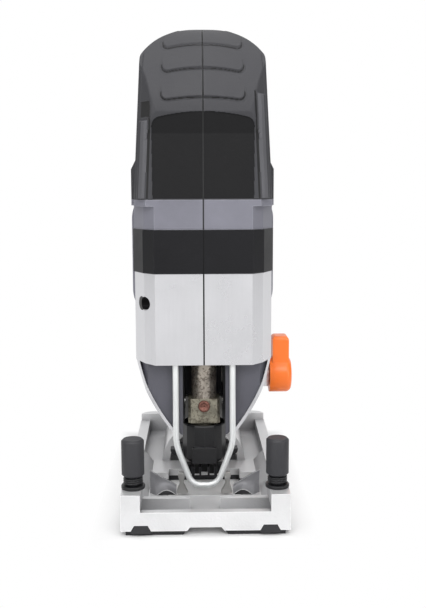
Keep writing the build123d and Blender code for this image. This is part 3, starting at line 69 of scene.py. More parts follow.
# Soft boxes, sizes in metres and power in watts: (name, place, target, size, power)
SOFT_BOXES = [
    ("key_above", (0.0, -0.15, 0.85), (0.0, -0.02, 0.12), (0.7, 0.7), 2.0),
    ("key_front", (0.0, -0.75, 0.75), (0.0, -0.03, 0.15), (0.6, 0.4), 3.2),
    ("front_left", (-0.7, -0.75, 0.45), (0.0, -0.03, 0.1), (0.5, 0.8), 3.0),
    ("front_right", (0.7, -0.75, 0.45), (0.0, -0.03, 0.1), (0.5, 0.8), 3.0),
]


def srgb(r, g, b):
    """A colour as seen on a screen, 0 to 255, as linear light."""
    def linear(c):
        c = c / 255
        return c / 12.92 if c <= 0.04045 else ((c + 0.055) / 1.055) ** 2.4
    return (linear(r), linear(g), linear(b), 1.0)


def scaled(colour, factor):
    return tuple(min(c * factor, 1.0) for c in colour[:3]) + (1.0,)


# Shader groups: effects that several finishes share

PIT_LEVEL = 0.56
CLOUD_FROM = 0.32
CLOUD_TO = 0.68
BEND_FROM = 0.985
BEND_TO = 0.9
BEVEL_RAYS = 6
WEAR_PATCHES = 140.0
WEAR_GAIN = 2.0
RECESS_RAYS = 8
SEAM_HALF = 0.35 * MM
STREAK_SHADE = 0.45
SPOT_SHARE = 0.6
ROUGH_SPREAD = 0.06
BUMP_DEPTH = 0.2 * MM


def start_group(name, inputs, outputs):
    """An empty shader group with its sockets; inputs are (name, kind, default)."""
    group = bpy.data.node_groups.new(name, "ShaderNodeTree")
    for socket, kind, default in inputs:
        item = group.interface.new_socket(socket, in_out="INPUT", socket_type=kind)
        item.default_value = default
    for socket, kind in outputs:
        group.interface.new_socket(socket, in_out="OUTPUT", socket_type=kind)
    return group, group.nodes.new("NodeGroupInput"), group.nodes.new("NodeGroupOutput")


FLOAT = "NodeSocketFloat"
VECTOR = "NodeSocketVector"


def maths(tree, operation, a, b):
    """A math node; a and b are sockets or numbers."""
    node = tree.nodes.new("ShaderNodeMath")
    node.operation = operation
    for i, value in enumerate((a, b)):
        if isinstance(value, (int, float)):
            node.inputs[i].default_value = value
        else:
            tree.links.new(value, node.inputs[i])
    return node.outputs[0]


def ranged(tree, value, low=0.0, high=1.0, start=0.0, end=1.0):
    """A value that runs from low to high while the given one runs from start to end."""
    node = tree.nodes.new("ShaderNodeMapRange")
    settings = {"From Min": start, "From Max": end, "To Min": low, "To Max": high}
    for socket, setting in settings.items():
        node.inputs[socket].default_value = setting
    tree.links.new(value, node.inputs["Value"])
    return node.outputs["Result"]


def object_place(tree):
    return tree.nodes.new("ShaderNodeTexCoord").outputs["Object"]


def axes_of(tree, place):
    """The x, y and z sockets of a place or direction."""
    node = tree.nodes.new("ShaderNodeSeparateXYZ")
    tree.links.new(place, node.inputs[0])
    return node.outputs


def noise(tree, place, scale, detail=4.0, rough=0.55):
    node = tree.nodes.new("ShaderNodeTexNoise")
    node.inputs["Detail"].default_value = detail
    node.inputs["Roughness"].default_value = rough
    tree.links.new(place, node.inputs["Vector"])
    if isinstance(scale, (int, float)):
        node.inputs["Scale"].default_value = scale
    else:
        tree.links.new(scale, node.inputs["Scale"])
    return node.outputs["Fac"]


def grain_group():
    """Fine moulded grain: a height for bump and a mask of its pits."""
    group, gin, gout = start_group(
        "moulded_grain", [("Scale", FLOAT, 900.0)], [("Height", FLOAT), ("Pits", FLOAT)])
    place = object_place(group)
    cell = group.nodes.new("ShaderNodeTexVoronoi")
    cell.feature = "SMOOTH_F1"
    group.links.new(place, cell.inputs["Vector"])
    group.links.new(gin.outputs["Scale"], cell.inputs["Scale"])
    fine = noise(group, place, gin.outputs["Scale"], detail=2.0)
    group.links.new(maths(group, "ADD", cell.outputs["Distance"], fine), gout.inputs["Height"])
    group.links.new(maths(group, "GREATER_THAN", fine, PIT_LEVEL), gout.inputs["Pits"])
    return group


def cloud_group():
    """Slow patchy change over a surface, about 0 to 1."""
    group, gin, gout = start_group(
        "surface_cloud", [("Scale", FLOAT, 30.0)], [("Cloud", FLOAT)])
    fac = noise(group, object_place(group), gin.outputs["Scale"], detail=5.0, rough=0.6)
    spread = ranged(group, fac, start=CLOUD_FROM, end=CLOUD_TO)
    group.links.new(spread, gout.inputs["Cloud"])
    return group


def wear_group():
    """Mask of rubbed edges, broken up by noise."""
    group, gin, gout = start_group(
        "edge_wear", [("Width", FLOAT, 0.6 * MM), ("Amount", FLOAT, 0.5)], [("Wear", FLOAT)])
    bevel = group.nodes.new("ShaderNodeBevel")
    bevel.samples = BEVEL_RAYS
    group.links.new(gin.outputs["Width"], bevel.inputs["Radius"])
    flat = group.nodes.new("ShaderNodeNewGeometry")
    dot = group.nodes.new("ShaderNodeVectorMath")
    dot.operation = "DOT_PRODUCT"
    group.links.new(bevel.outputs["Normal"], dot.inputs[0])
    group.links.new(flat.outputs["Normal"], dot.inputs[1])
    bend = ranged(group, dot.outputs["Value"], start=BEND_FROM, end=BEND_TO)
    patches = noise(group, object_place(group), WEAR_PATCHES, detail=6.0)
    worn = maths(group, "MULTIPLY", bend, patches)
    share = maths(group, "MULTIPLY", worn, gin.outputs["Amount"])
    group.links.new(maths(group, "MULTIPLY", share, WEAR_GAIN), gout.inputs["Wear"])
    return group


def streak_group():
    """Drawn-out streaks along one axis, for ground and brushed metal."""
    group, gin, gout = start_group(
        "brushed_streaks", [("Stretch", VECTOR, (1.0, 1.0, 1.0)), ("Scale", FLOAT, 400.0)],
        [("Streak", FLOAT)])
    stretch = group.nodes.new("ShaderNodeVectorMath")
    stretch.operation = "MULTIPLY"
    group.links.new(object_place(group), stretch.inputs[0])
    group.links.new(gin.outputs["Stretch"], stretch.inputs[1])
    fac = noise(group, stretch.outputs["Vector"], gin.outputs["Scale"], detail=3.0)
    group.links.new(fac, gout.inputs["Streak"])
    return group


def seam_group():
    """Mask of the dark joint line where left and right halves meet."""
    group, gin, gout = start_group("parting_seam", [("Half", FLOAT, SEAM_HALF)], [("Seam", FLOAT)])
    away = maths(group, "ABSOLUTE", axes_of(group, object_place(group))["X"], 0.0)
    group.links.new(maths(group, "LESS_THAN", away, gin.outputs["Half"]), gout.inputs["Seam"])
    return group


def recess_shade_group():
    """Mask of corners and hollows, where less light reaches, for painted shade."""
    group, gin, gout = start_group("recess_shade", [("Reach", FLOAT, 8.0 * MM)], [("PaintedShade", FLOAT)])
    open_share = group.nodes.new("ShaderNodeAmbientOcclusion")
    open_share.samples = RECESS_RAYS
    open_share.only_local = True
    group.links.new(gin.outputs["Reach"], open_share.inputs["Distance"])
    group.links.new(maths(group, "SUBTRACT", 1.0, open_share.outputs["AO"]), gout.inputs["PaintedShade"])
    return group


GRAIN = grain_group()
CLOUD = cloud_group()
WEAR = wear_group()
STREAK = streak_group()
SEAM = seam_group()
RECESS_SHADE = recess_shade_group()


def placed(tree, group, **values):
    node = tree.nodes.new("ShaderNodeGroup")
    node.node_tree = group
    for socket, value in values.items():
        node.inputs[socket].default_value = value
    return node.outputs


def mixed(tree, fac, a, b):
    """A colour between a and b; each is a colour or a socket."""
    node = tree.nodes.new("ShaderNodeMix")
    node.data_type = "RGBA"
    tree.links.new(fac, node.inputs["Factor"])
    for socket, value in (("A", a), ("B", b)):
        target = [s for s in node.inputs if s.name == socket and s.type == "RGBA"][0]
        if isinstance(value, tuple):
            target.default_value = value
        else:
            tree.links.new(value, target)
    return [s for s in node.outputs if s.type == "RGBA"][0]


def painted_well_shade_mask(tree, y, z, radius):
    """Mask of the inside of a screw well that runs in from the left, where its shade is painted."""
    axes = axes_of(tree, object_place(tree))
    squares = []
    for axis, middle in (("Y", y), ("Z", z)):
        off = maths(tree, "SUBTRACT", axes[axis], middle)
        squares.append(maths(tree, "MULTIPLY", off, off))
    near = maths(tree, "LESS_THAN", maths(tree, "ADD", *squares), radius ** 2)
    return maths(tree, "MULTIPLY", near, maths(tree, "LESS_THAN", axes["X"], 0.0))


def finish(name, colour, rough, metallic=0.0, grain=(1500.0, 0.15), cloud=(35.0, 0.12), wear=None,
           streak=None, specular=0.5, coat=0.0, spots=None, seam=None, well=None, painted_recess_shade=None):
    """One surface finish. grain is (scale, bump), cloud is (scale, spread of shade),
    wear is (width, amount, colour), streak is (stretch, scale, spread), spots is (scale, colour),
    seam is (half width, colour), well is (y, z, radius, colour) of a screw well on the left side, whose
    colour is painted shade, painted_recess_shade is (reach, colour) of painted shade in corners and
    hollows."""
    material = bpy.data.materials.new(name)
    material.use_nodes = True
    tree = material.node_tree
    shader = tree.nodes["Principled BSDF"]
    shader.inputs["Metallic"].default_value = metallic
    shader.inputs["Specular IOR Level"].default_value = specular
    shader.inputs["Coat Weight"].default_value = coat
    patch = placed(tree, CLOUD, Scale=cloud[0])["Cloud"]
    shade = mixed(tree, patch, scaled(colour, 1 - cloud[1]), scaled(colour, 1 + cloud[1]))
    if streak:
        lines = placed(tree, STREAK, Stretch=streak[0], Scale=streak[1])["Streak"]
        shade = mixed(tree, ranged(tree, lines, high=streak[2]), shade, scaled(colour, STREAK_SHADE))
    if spots:
        pits = placed(tree, GRAIN, Scale=spots[0])["Pits"]
        shade = mixed(tree, ranged(tree, pits, high=SPOT_SHARE), shade, spots[1])
    if wear:
        mask = placed(tree, WEAR, Width=wear[0], Amount=wear[1])["Wear"]
        shade = mixed(tree, mask, shade, wear[2])
    # Painted shade: corners and hollows darkened towards the recess colour.
    if painted_recess_shade:
        painted_recess_mask = placed(tree, RECESS_SHADE, Reach=painted_recess_shade[0])["PaintedShade"]
        shade = mixed(tree, painted_recess_mask, shade, painted_recess_shade[1])
    if seam:
        joint = placed(tree, SEAM, Half=seam[0])["Seam"]
        shade = mixed(tree, joint, shade, seam[1])
    # Painted shade inside the screw well.
    if well:
        shade = mixed(tree, painted_well_shade_mask(tree, *well[:3]), shade, well[3])
    tree.links.new(shade, shader.inputs["Base Color"])
    dull = ranged(tree, patch, rough - ROUGH_SPREAD, rough + ROUGH_SPREAD)
    tree.links.new(dull, shader.inputs["Roughness"])
    bump = tree.nodes.new("ShaderNodeBump")
    bump.inputs["Strength"].default_value = grain[1]
    bump.inputs["Distance"].default_value = BUMP_DEPTH
    tree.links.new(placed(tree, GRAIN, Scale=grain[0])["Height"], bump.inputs["Height"])
    tree.links.new(bump.outputs["Normal"], shader.inputs["Normal"])
    return material


SEAM_DARK = (SEAM_HALF, srgb(14, 14, 16))
# Near-black painted shade inside the screw well on the left of the silver head.
HEAD_WELL_SHADE = (-28.9 * MM, 97.6 * MM, 3.35 * MM, srgb(8, 8, 9))
SOFT_GRIP = finish("soft_grip", srgb(48, 48, 52), 0.6, grain=(2600.0, 0.22),
                   wear=(0.8 * MM, 0.35, srgb(96, 96, 100)), seam=SEAM_DARK)
PANEL_SOFT = finish("panel_soft", srgb(14, 14, 16), 0.6, grain=(2600.0, 0.25), specular=0.25)
RAIL_SOFT = finish("rail_soft", srgb(78, 78, 82), 0.5, grain=(2600.0, 0.2))
# Near-black painted shade for the lines under the tongue lips, the grooves beside the rails and the screw
# pocket.
GROOVE_SHADE_DARK = finish("painted_groove_shade", srgb(10, 10, 11), 0.7, grain=(2600.0, 0.2))
GREY_SHELL = finish("grey_shell", srgb(116, 116, 126), 0.5, grain=(2200.0, 0.15),
                    wear=(0.5 * MM, 0.5, srgb(176, 176, 184)), seam=SEAM_DARK)
BAND_BLACK = finish("band_black", srgb(20, 20, 23), 0.45, grain=(2400.0, 0.15), specular=0.2,
                    wear=(0.5 * MM, 0.6, srgb(110, 110, 116)), seam=SEAM_DARK)
SILVER = finish("silver_head", srgb(214, 214, 217), 0.3, metallic=0.9, grain=(1300.0, 0.03),
                cloud=(22.0, 0.05), streak=((6.0, 6.0, 0.35), 160.0, 0.12), seam=SEAM_DARK, well=HEAD_WELL_SHADE)
PANEL_DARK = finish("panel_dark", srgb(80, 80, 88), 0.55, grain=(2200.0, 0.2))
PAD_RUBBER = finish("pad_rubber", srgb(36, 36, 38), 0.75, grain=(1500.0, 0.4), cloud=(50.0, 0.2))
BRIGHT_STEEL = finish("bright_steel", srgb(218, 218, 216), 0.22, metallic=1.0, cloud=(60.0, 0.06),
                      streak=((1.0, 1.0, 0.1), 900.0, 0.2))
BLACK_STEEL = finish("black_steel", srgb(44, 44, 50), 0.35, metallic=0.8, cloud=(120.0, 0.2))
WIRE_STEEL = finish("guard_wire", srgb(226, 228, 228), 0.38, metallic=0.5, grain=(1500.0, 0.05),
                    cloud=(60.0, 0.04))
ROD_STEEL = finish("rod_steel", srgb(166, 158, 148), 0.4, metallic=0.8, grain=(900.0, 0.7),
                   cloud=(220.0, 0.35), spots=(900.0, srgb(70, 60, 52)))
# The base casting's recess colour is painted shade in its corners and hollows.
CAST = finish("cast_base", srgb(222, 222, 223), 0.4, metallic=0.5, grain=(1100.0, 0.3), cloud=(40.0, 0.06),
              wear=(0.6 * MM, 0.8, srgb(255, 255, 255)), painted_recess_shade=(14.0 * MM, srgb(96, 96, 99)))
# The scoops are the base casting, painted a darker grey as their shade.
SCOOP_SHADE_CAST = finish("scoop_cast_shaded", srgb(112, 112, 115), 0.45, metallic=0.4, grain=(1100.0, 0.3),
                    cloud=(60.0, 0.15), wear=(0.5 * MM, 0.8, srgb(235, 235, 235)))
FRAME_CAST = finish("frame_cast", srgb(58, 58, 60), 0.5, metallic=0.4, grain=(900.0, 0.4))
BRONZE = finish("bush_bronze", srgb(178, 140, 92), 0.4, metallic=1.0, spots=(1200.0, srgb(90, 66, 40)))
LAMINATION = finish("lamination", srgb(120, 120, 122), 0.5, metallic=0.9,
                    streak=((0.2, 6.0, 0.2), 500.0, 0.5))
COPPER = finish("copper", srgb(196, 128, 104), 0.38, metallic=0.9, streak=((0.3, 3.0, 3.0), 500.0, 0.4))
RIVET_COPPER = finish("rivet_copper", srgb(124, 84, 74), 0.46, metallic=0.7, cloud=(260.0, 0.25),
                      spots=(1100.0, srgb(92, 62, 54)))
CARBON = finish("carbon", srgb(48, 48, 50), 0.6, grain=(1800.0, 0.3))
BLACK = finish("black_moulded", srgb(22, 22, 24), 0.42, grain=(2000.0, 0.15), specular=0.35,
               wear=(0.4 * MM, 0.5, srgb(92, 92, 96)))
KNOB_BLACK = finish("knob_black", srgb(40, 40, 44), 0.55, grain=(1900.0, 0.35),
                    wear=(0.4 * MM, 0.4, srgb(120, 120, 124)))
SOLE_BLACK = finish("sole_black", srgb(30, 30, 33), 0.5, grain=(1700.0, 0.25))
ORANGE = finish("lever_orange", srgb(255, 120, 30), 0.38, grain=(1500.0, 0.08), cloud=(60.0, 0.05),
                coat=0.15, wear=(0.5 * MM, 0.4, srgb(255, 170, 96)))
CLAMP_ZINC = finish("clamp_zinc", srgb(138, 134, 120), 0.4, metallic=0.7, grain=(900.0, 0.5),
                    cloud=(170.0, 0.35), spots=(800.0, srgb(84, 76, 64)))
FORK_ZINC = finish("fork_zinc", srgb(178, 177, 175), 0.45, metallic=0.4, grain=(1000.0, 0.35))

FINISH_OF_NODES = [
    (SOFT_GRIP, ["handle_left", "handle_right"]),
    (GREY_SHELL, ["housing_left", "housing_right"]),
    (BAND_BLACK, ["band_left", "band_right"]),
    (SILVER, ["head_cover_left", "head_cover_right"]),
    (PANEL_DARK, ["lower_panel_left", "lower_panel_right"]),
    (PAD_RUBBER, ["side_pad_left", "side_pad_right", "cord_gland"]),
    (BLACK_STEEL, ["housing_screws"]),
    (WIRE_STEEL, ["finger_guard"]),
    (BRIGHT_STEEL, ["gear_axle", "fork_pin", "roller_pin", "bevel_clamp_bolt", "armature_shaft",
                    "front_bearing", "rear_bearing", "drive_pinion", "drive_gear", "crank_pin",
                    "crank_roller", "guide_roller"]),
    (ROD_STEEL, ["plunger_rod"]),
    (CAST, ["base_plate"]),
    (FRAME_CAST, ["gear_frame"]),
    (BRONZE, ["upper_guide_bush", "lower_guide_bush"]),
    (LAMINATION, ["stator_core", "armature_core"]),
    (COPPER, ["field_coils", "commutator"]),
    (RIVET_COPPER, ["clamp_rivet"]),
    (CARBON, ["carbon_brushes"]),
    (BLACK, ["release_collar", "blade_guide", "trigger", "lock_button", "speed_dial", "switch_body",
             "speed_control", "brush_holders", "cooling_fan", "knob_washers", "knob_springs"]),
    (KNOB_BLACK, ["fence_knob_left", "fence_knob_right"]),
    (SOLE_BLACK, ["sole_plate"]),
    (ORANGE, ["orbit_lever"]),
    (CLAMP_ZINC, ["blade_clamp_block"]),
    (FORK_ZINC, ["roller_fork", "crosshead_yoke", "bevel_clamp_plate", "orbit_cam_shaft"]),
]


def dress(obj, material):
    obj.data.materials.clear()
    obj.data.materials.append(material)


for material, names in FINISH_OF_NODES:
    for name in names:
        dress(NODES[name], material)


# Shapes: what several pieces are made with

def made(form, name, materials, body):
    """An object from a finished bmesh form, riding on a body."""
    bmesh.ops.recalc_face_normals(form, faces=form.faces)
    mesh = bpy.data.meshes.new(name)
    form.to_mesh(mesh)
    form.free()
    for material in materials:
        mesh.materials.append(material)
    obj = bpy.data.objects.new(name, mesh)
    bpy.context.scene.collection.objects.link(obj)
    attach(obj, body)
    return obj


def turned(form, centre, profile, sides):
    """A closed ring turned from (radius, height) points about a vertical line."""
    rings = []
    for i in range(sides):
        angle = math.tau * (i + 0.5) / sides
        rings.append([form.verts.new((centre[0] + r * math.cos(angle), centre[1] + r * math.sin(angle), z))
                      for r, z in profile])
    for ring, after in zip(rings, rings[1:] + rings[:1]):
        for k in range(len(profile)):
            m = (k + 1) % len(profile)
            form.faces.new((ring[k], after[k], after[m], ring[m]))


def slab(form, outline, y0, y1):
    """A plate with an outline in x and z, from y0 to y1."""
    front = [form.verts.new((x, y0, z)) for x, z in outline]
    back = [form.verts.new((x, y1, z)) for x, z in outline]
    form.faces.new(front)
    form.faces.new(back[::-1])
    for i in range(len(outline)):
        j = (i + 1) % len(outline)
        form.faces.new((front[j], front[i], back[i], back[j]))


def rounded(obj, width, segments=2, angle_deg=35.0):
    """Small rounded edges, which catch the light."""
    bevel = obj.modifiers.new("edge_round", "BEVEL")
    bevel.width = width
    bevel.segments = segments
    bevel.limit_method = "ANGLE"
    bevel.angle_limit = math.radians(angle_deg)
    bevel.harden_normals = True
    return obj


# Nose of the soft grip: tongues, sunk front panel and side rails over the CAD nose

SKIN_STEP = 0.32 * MM
SKIN_LIFT = 0.55 * MM
SKIN_ROOT = 0.8 * MM
SKIN_FADE = 1.0 * MM
BROW_BLEND = 8.0 * MM
# Points of the nose line, as (y, z)
NOSE_FOOT = (-38.0 * MM, 147.5 * MM)
NOSE_CREASE = (-39.5 * MM, 177.2 * MM)
NOSE_LIP = (-43.0 * MM, 186.7 * MM)
NOSE_BROW = (-33.5 * MM, 212.1 * MM)
NOSE_CROWN = (-6.0 * MM, 229.1 * MM)
SKIN_TOP = 227.0 * MM
# Half-widths, as (height, half-width)
NOSE_HALF_LOW = (143.9 * MM, 32.2 * MM)
NOSE_HALF_HIGH = (210.5 * MM, 27.9 * MM)
ARCH_R = 33.5 * MM
ARCH_MARGIN = 0.6 * MM
TONGUES = [  # crest height, drop at the ends, half-width
    (218.6 * MM, 2.8 * MM, 18.1 * MM),
    (206.6 * MM, 2.3 * MM, 18.4 * MM),
    (193.2 * MM, 1.6 * MM, 18.8 * MM),
]
TONGUE_LIFT = 0.6 * MM
TONGUE_LENGTH = 7.0 * MM
TONGUE_CORNER = 2.8 * MM
TONGUE_LINE = 0.55 * MM
TONGUE_HOOK = 4.0 * MM
# Grooves, as (width, depth)
TONGUE_GROOVE = (0.7 * MM, 0.45 * MM)
TONGUE_RAMP = (-0.1 * MM, 0.3 * MM)
TONGUE_GROOVE_END = -0.3 * MM
TONGUE_FADE_POWER = 1.4
# Upper edge of the sunk panel, as (crest height, drop, half-width)
PANEL_TOP = (186.9 * MM, 2.9 * MM, 22.5 * MM)
PANEL_HALF = 23.8 * MM
PANEL_CORNER = 3.5 * MM
PANEL_SINK = 0.45 * MM
PANEL_RAMP = 0.5 * MM
RAIL_LOW = (148.0 * MM, 26.9 * MM)
RAIL_HIGH = (195.0 * MM, 24.4 * MM)
RAIL_W = 3.6 * MM
RAIL_LIFT = 1.1 * MM
RAIL_RAMP = 0.6 * MM
RAIL_GROOVE = (1.1 * MM, 0.45 * MM)
RAIL_GROOVE_RAMP = 0.3 * MM
RAIL_TO_POCKET = 1.2 * MM
POCKET_X = (23.8 * MM, 30.5 * MM)
POCKET_Z = (184.2 * MM, 191.8 * MM)
POCKET_SHARE = 0.9
POCKET_RAMP = 0.4 * MM
TINT_MARGIN = 0.2 * MM
SKIN_LEAST = 0.06 * MM
RIM_SINK = 0.6 * MM
RIM_TOP_RATE = 1.5
NOSE_ARC_STEPS = 40
RAY_START = 60.0 * MM


def step_up(value, low, high):
    """0 below low, 1 above high, smooth between."""
    t = min(max((value - low) / (high - low), 0.0), 1.0)
    return t * t * (3 - 2 * t)


def arc_through(a, b, c, count):
    """Points of the arc from a through b to c."""
    d = 2 * (a[0] * (b[1] - c[1]) + b[0] * (c[1] - a[1]) + c[0] * (a[1] - b[1]))
    squares = [p[0] ** 2 + p[1] ** 2 for p in (a, b, c)]
    cx = (squares[0] * (b[1] - c[1]) + squares[1] * (c[1] - a[1]) + squares[2] * (a[1] - b[1])) / d
    cy = (squares[0] * (c[0] - b[0]) + squares[1] * (a[0] - c[0]) + squares[2] * (b[0] - a[0])) / d
    radius = math.hypot(a[0] - cx, a[1] - cy)
    start = math.atan2(a[1] - cy, a[0] - cx)
    turn = math.atan2(c[1] - cy, c[0] - cx) - start
    turn = turn - math.tau * round(turn / math.tau)
    angles = [start + turn * i / count for i in range(count + 1)]
    return [(cx + radius * math.cos(angle), cy + radius * math.sin(angle)) for angle in angles]


def even_points(line, step):
    """The same line with points a step apart."""
    points = []
    for (y0, z0), (y1, z1) in zip(line, line[1:]):
        count = max(1, round(math.hypot(y1 - y0, z1 - z0) / step))
        points += [(y0 + (y1 - y0) * i / count, z0 + (z1 - z0) * i / count) for i in range(count)]
    return points + [line[-1]]


def corner_depth(dx, dz, radius):
    """How far a point is inside a rounded corner, from its depth along each side."""
    if dx < radius and dz < radius:
        return radius - math.hypot(radius - dx, radius - dz)
    return min(dx, dz)


def along(z, low, high):
    """A half-width that runs evenly between two heights, each given as (height, half-width)."""
    return low[1] + (high[1] - low[1]) * (z - low[0]) / (high[0] - low[0])


def nose_half(z):
    if z < NOSE_HALF_HIGH[0]:
        return along(z, NOSE_HALF_LOW, NOSE_HALF_HIGH)
    drop = NOSE_CROWN[1] - z
    return min(NOSE_HALF_HIGH[1], math.sqrt(max(ARCH_R ** 2 - (ARCH_R - drop) ** 2, 0.0)) - ARCH_MARGIN)


def panel_depth(x, z):
    top, drop, half = PANEL_TOP
    edge = top - drop * (x / half) ** 2
    return corner_depth(PANEL_HALF - abs(x), edge - z, PANEL_CORNER)


def pocket_depth(x, z):
    """Square screw pocket, on the left side only."""
    return min(-x - POCKET_X[0], POCKET_X[1] + x, z - POCKET_Z[0], POCKET_Z[1] - z)


def tongue_edge(x, z, tongue):
    """Depth inside a tongue's rounded lower end, and height above its lip."""
    crest, drop, half = tongue
    up = z - (crest - drop * (x / half) ** 2)
    return corner_depth(half - abs(x), up, TONGUE_CORNER), up


def rail_depth(x, z):
    """How far a place is inside the raised rail beside the panel."""
    inner = along(z, RAIL_LOW, RAIL_HIGH)
    end = RAIL_HIGH[0] if x > 0 else POCKET_Z[0] - RAIL_TO_POCKET
    return min(abs(x) - inner, inner + RAIL_W - abs(x), end - z)


def nose_kind(x, z):
    """Which finish a place on the nose has: 0 soft grip, 1 sunk panel, 2 painted shade in a groove line or
    the pocket, 3 rail.
    """
    for tongue in TONGUES:
        depth, up = tongue_edge(x, z, tongue)
        if -TONGUE_LINE < depth < 0 and up < TONGUE_HOOK:
            return 2
    if pocket_depth(x, z) > TINT_MARGIN:
        return 2
    rail = rail_depth(x, z)
    beside = along(z, RAIL_LOW, RAIL_HIGH) - abs(x)
    if 0 < beside < RAIL_GROOVE[0] and rail > -RAIL_GROOVE[0]:
        return 2
    if rail > TINT_MARGIN:
        return 3
    return 1 if panel_depth(x, z) > TINT_MARGIN else 0


def nose_lift(x, z):
    """Height of the skin over the CAD nose at a place on its front."""
    lift = SKIN_LIFT
    for tongue in TONGUES:
        depth, up = tongue_edge(x, z, tongue)
        fade = max(0.0, 1 - max(up, 0.0) / TONGUE_LENGTH) ** TONGUE_FADE_POWER
        lift += TONGUE_LIFT * step_up(depth, *TONGUE_RAMP) * fade
        width, sink = TONGUE_GROOVE
        groove = step_up(depth, -2 * width, -width) * (1 - step_up(depth, TONGUE_GROOVE_END, 0.0))
        lift -= sink * groove * (fade if up > 0 else 1.0)
    lift -= PANEL_SINK * step_up(panel_depth(x, z), 0.0, PANEL_RAMP)
    rail = rail_depth(x, z)
    lift += RAIL_LIFT * step_up(rail, 0.0, RAIL_RAMP)
    beside = along(z, RAIL_LOW, RAIL_HIGH) - abs(x)
    width, sink = RAIL_GROOVE
    if rail > -width:
        far_wall = step_up(beside, width - RAIL_GROOVE_RAMP, width)
        lift -= sink * step_up(beside, 0.0, RAIL_GROOVE_RAMP) * (1 - far_wall)
    lift -= SKIN_LIFT * POCKET_SHARE * step_up(pocket_depth(x, z), 0.0, POCKET_RAMP)
    rim = min(nose_half(z) - abs(x), (SKIN_TOP - z) * RIM_TOP_RATE)
    return max(lift, SKIN_LEAST) - (SKIN_LIFT + RIM_SINK) * (1 - step_up(rim, 0.0, SKIN_FADE))


def nose_skin(side, name, node):
    """Soft skin over one half of the nose; side is -1 for left, 1 for right."""
    mesh = NODES[node].data
    solid = BVHTree.FromPolygons([v.co for v in mesh.vertices], [list(p.vertices) for p in mesh.polygons])
    line = [NOSE_FOOT, NOSE_CREASE] + arc_through(NOSE_LIP, NOSE_BROW, NOSE_CROWN, NOSE_ARC_STEPS)
    rows = [p for p in even_points(line, SKIN_STEP) if p[1] < SKIN_TOP]
    columns = round(NOSE_HALF_LOW[1] / SKIN_STEP)
    form = bmesh.new()
    outer, inner = [], []
    for i, (y, z) in enumerate(rows):
        before, after = rows[max(i - 1, 0)], rows[min(i + 1, len(rows) - 1)]
        run = Vector((0, after[0] - before[0], after[1] - before[1])).normalized()
        over = step_up(z, NOSE_LIP[1], NOSE_BROW[1] + BROW_BLEND)
        out = Vector((0, -1, 0)).lerp(Vector((0, -run.z, run.y)), over).normalized()
        outer.append([])
        inner.append([])
        for j in range(columns + 1):
            x = side * (SEAM_HALF + (nose_half(z) - SEAM_HALF) * j / columns)
            spot, normal, _, _ = solid.ray_cast(Vector((x, y, z)) + out * RAY_START, -out)
            if spot is None:
                spot, normal, _, _ = solid.find_nearest(Vector((x, y, z)))
            outer[-1].append(form.verts.new(spot + normal * nose_lift(x, spot.z)))
            inner[-1].append(form.verts.new(spot - normal * SKIN_ROOT))
    for i in range(len(rows) - 1):
        for j in range(columns):
            x = (outer[i][j].co.x + outer[i][j + 1].co.x) / 2
            z = (outer[i][j].co.z + outer[i + 1][j].co.z) / 2
            kind = nose_kind(x, z)
            for grid, turn in ((outer, 1), (inner, -1)):
                corners = [grid[i][j], grid[i][j + 1], grid[i + 1][j + 1], grid[i + 1][j]]
                face = form.faces.new(corners[::turn])
                face.material_index = kind
                face.smooth = True
    loops = [list(zip(outer[0], inner[0])), list(zip(outer[-1], inner[-1])),
             [(o[0], n[0]) for o, n in zip(outer, inner)], [(o[-1], n[-1]) for o, n in zip(outer, inner)]]
    for loop in loops:
        for (a, b), (c, d) in zip(loop, loop[1:]):
            form.faces.new((a, b, d, c))
    return made(form, name, [SOFT_GRIP, PANEL_SOFT, GROOVE_SHADE_DARK, RAIL_SOFT], "housing")


nose_skin(-1, "nose_skin_left", "handle_left")
nose_skin(1, "nose_skin_right", "handle_right")


# Release collar: faceted cup with a front tab and two curved wings

COLLAR_SIDES = 14
COLLAR_WALL = 1.2 * MM
CUP_DEPTH = 6.0 * MM
COLLAR_BORE = 5.6 * MM
WING_CURVE_POINTS = 14
WING_DEEP = 6.0 * MM
WING_TALL = 5.5 * MM
TAB_HALF = 6.0 * MM
TAB_PROUD = 0.9 * MM
TAB_TALL = 8.0 * MM
TAB_RAISE = 0.6 * MM
COLLAR_FOOT_CHAMFER = 1.8 * MM
COLLAR_RIM_DROP = 0.8 * MM
COLLAR_RIM_IN = 0.4 * MM
WING_CURVE_POWER = 0.7
COLLAR_ROUND = 0.35 * MM


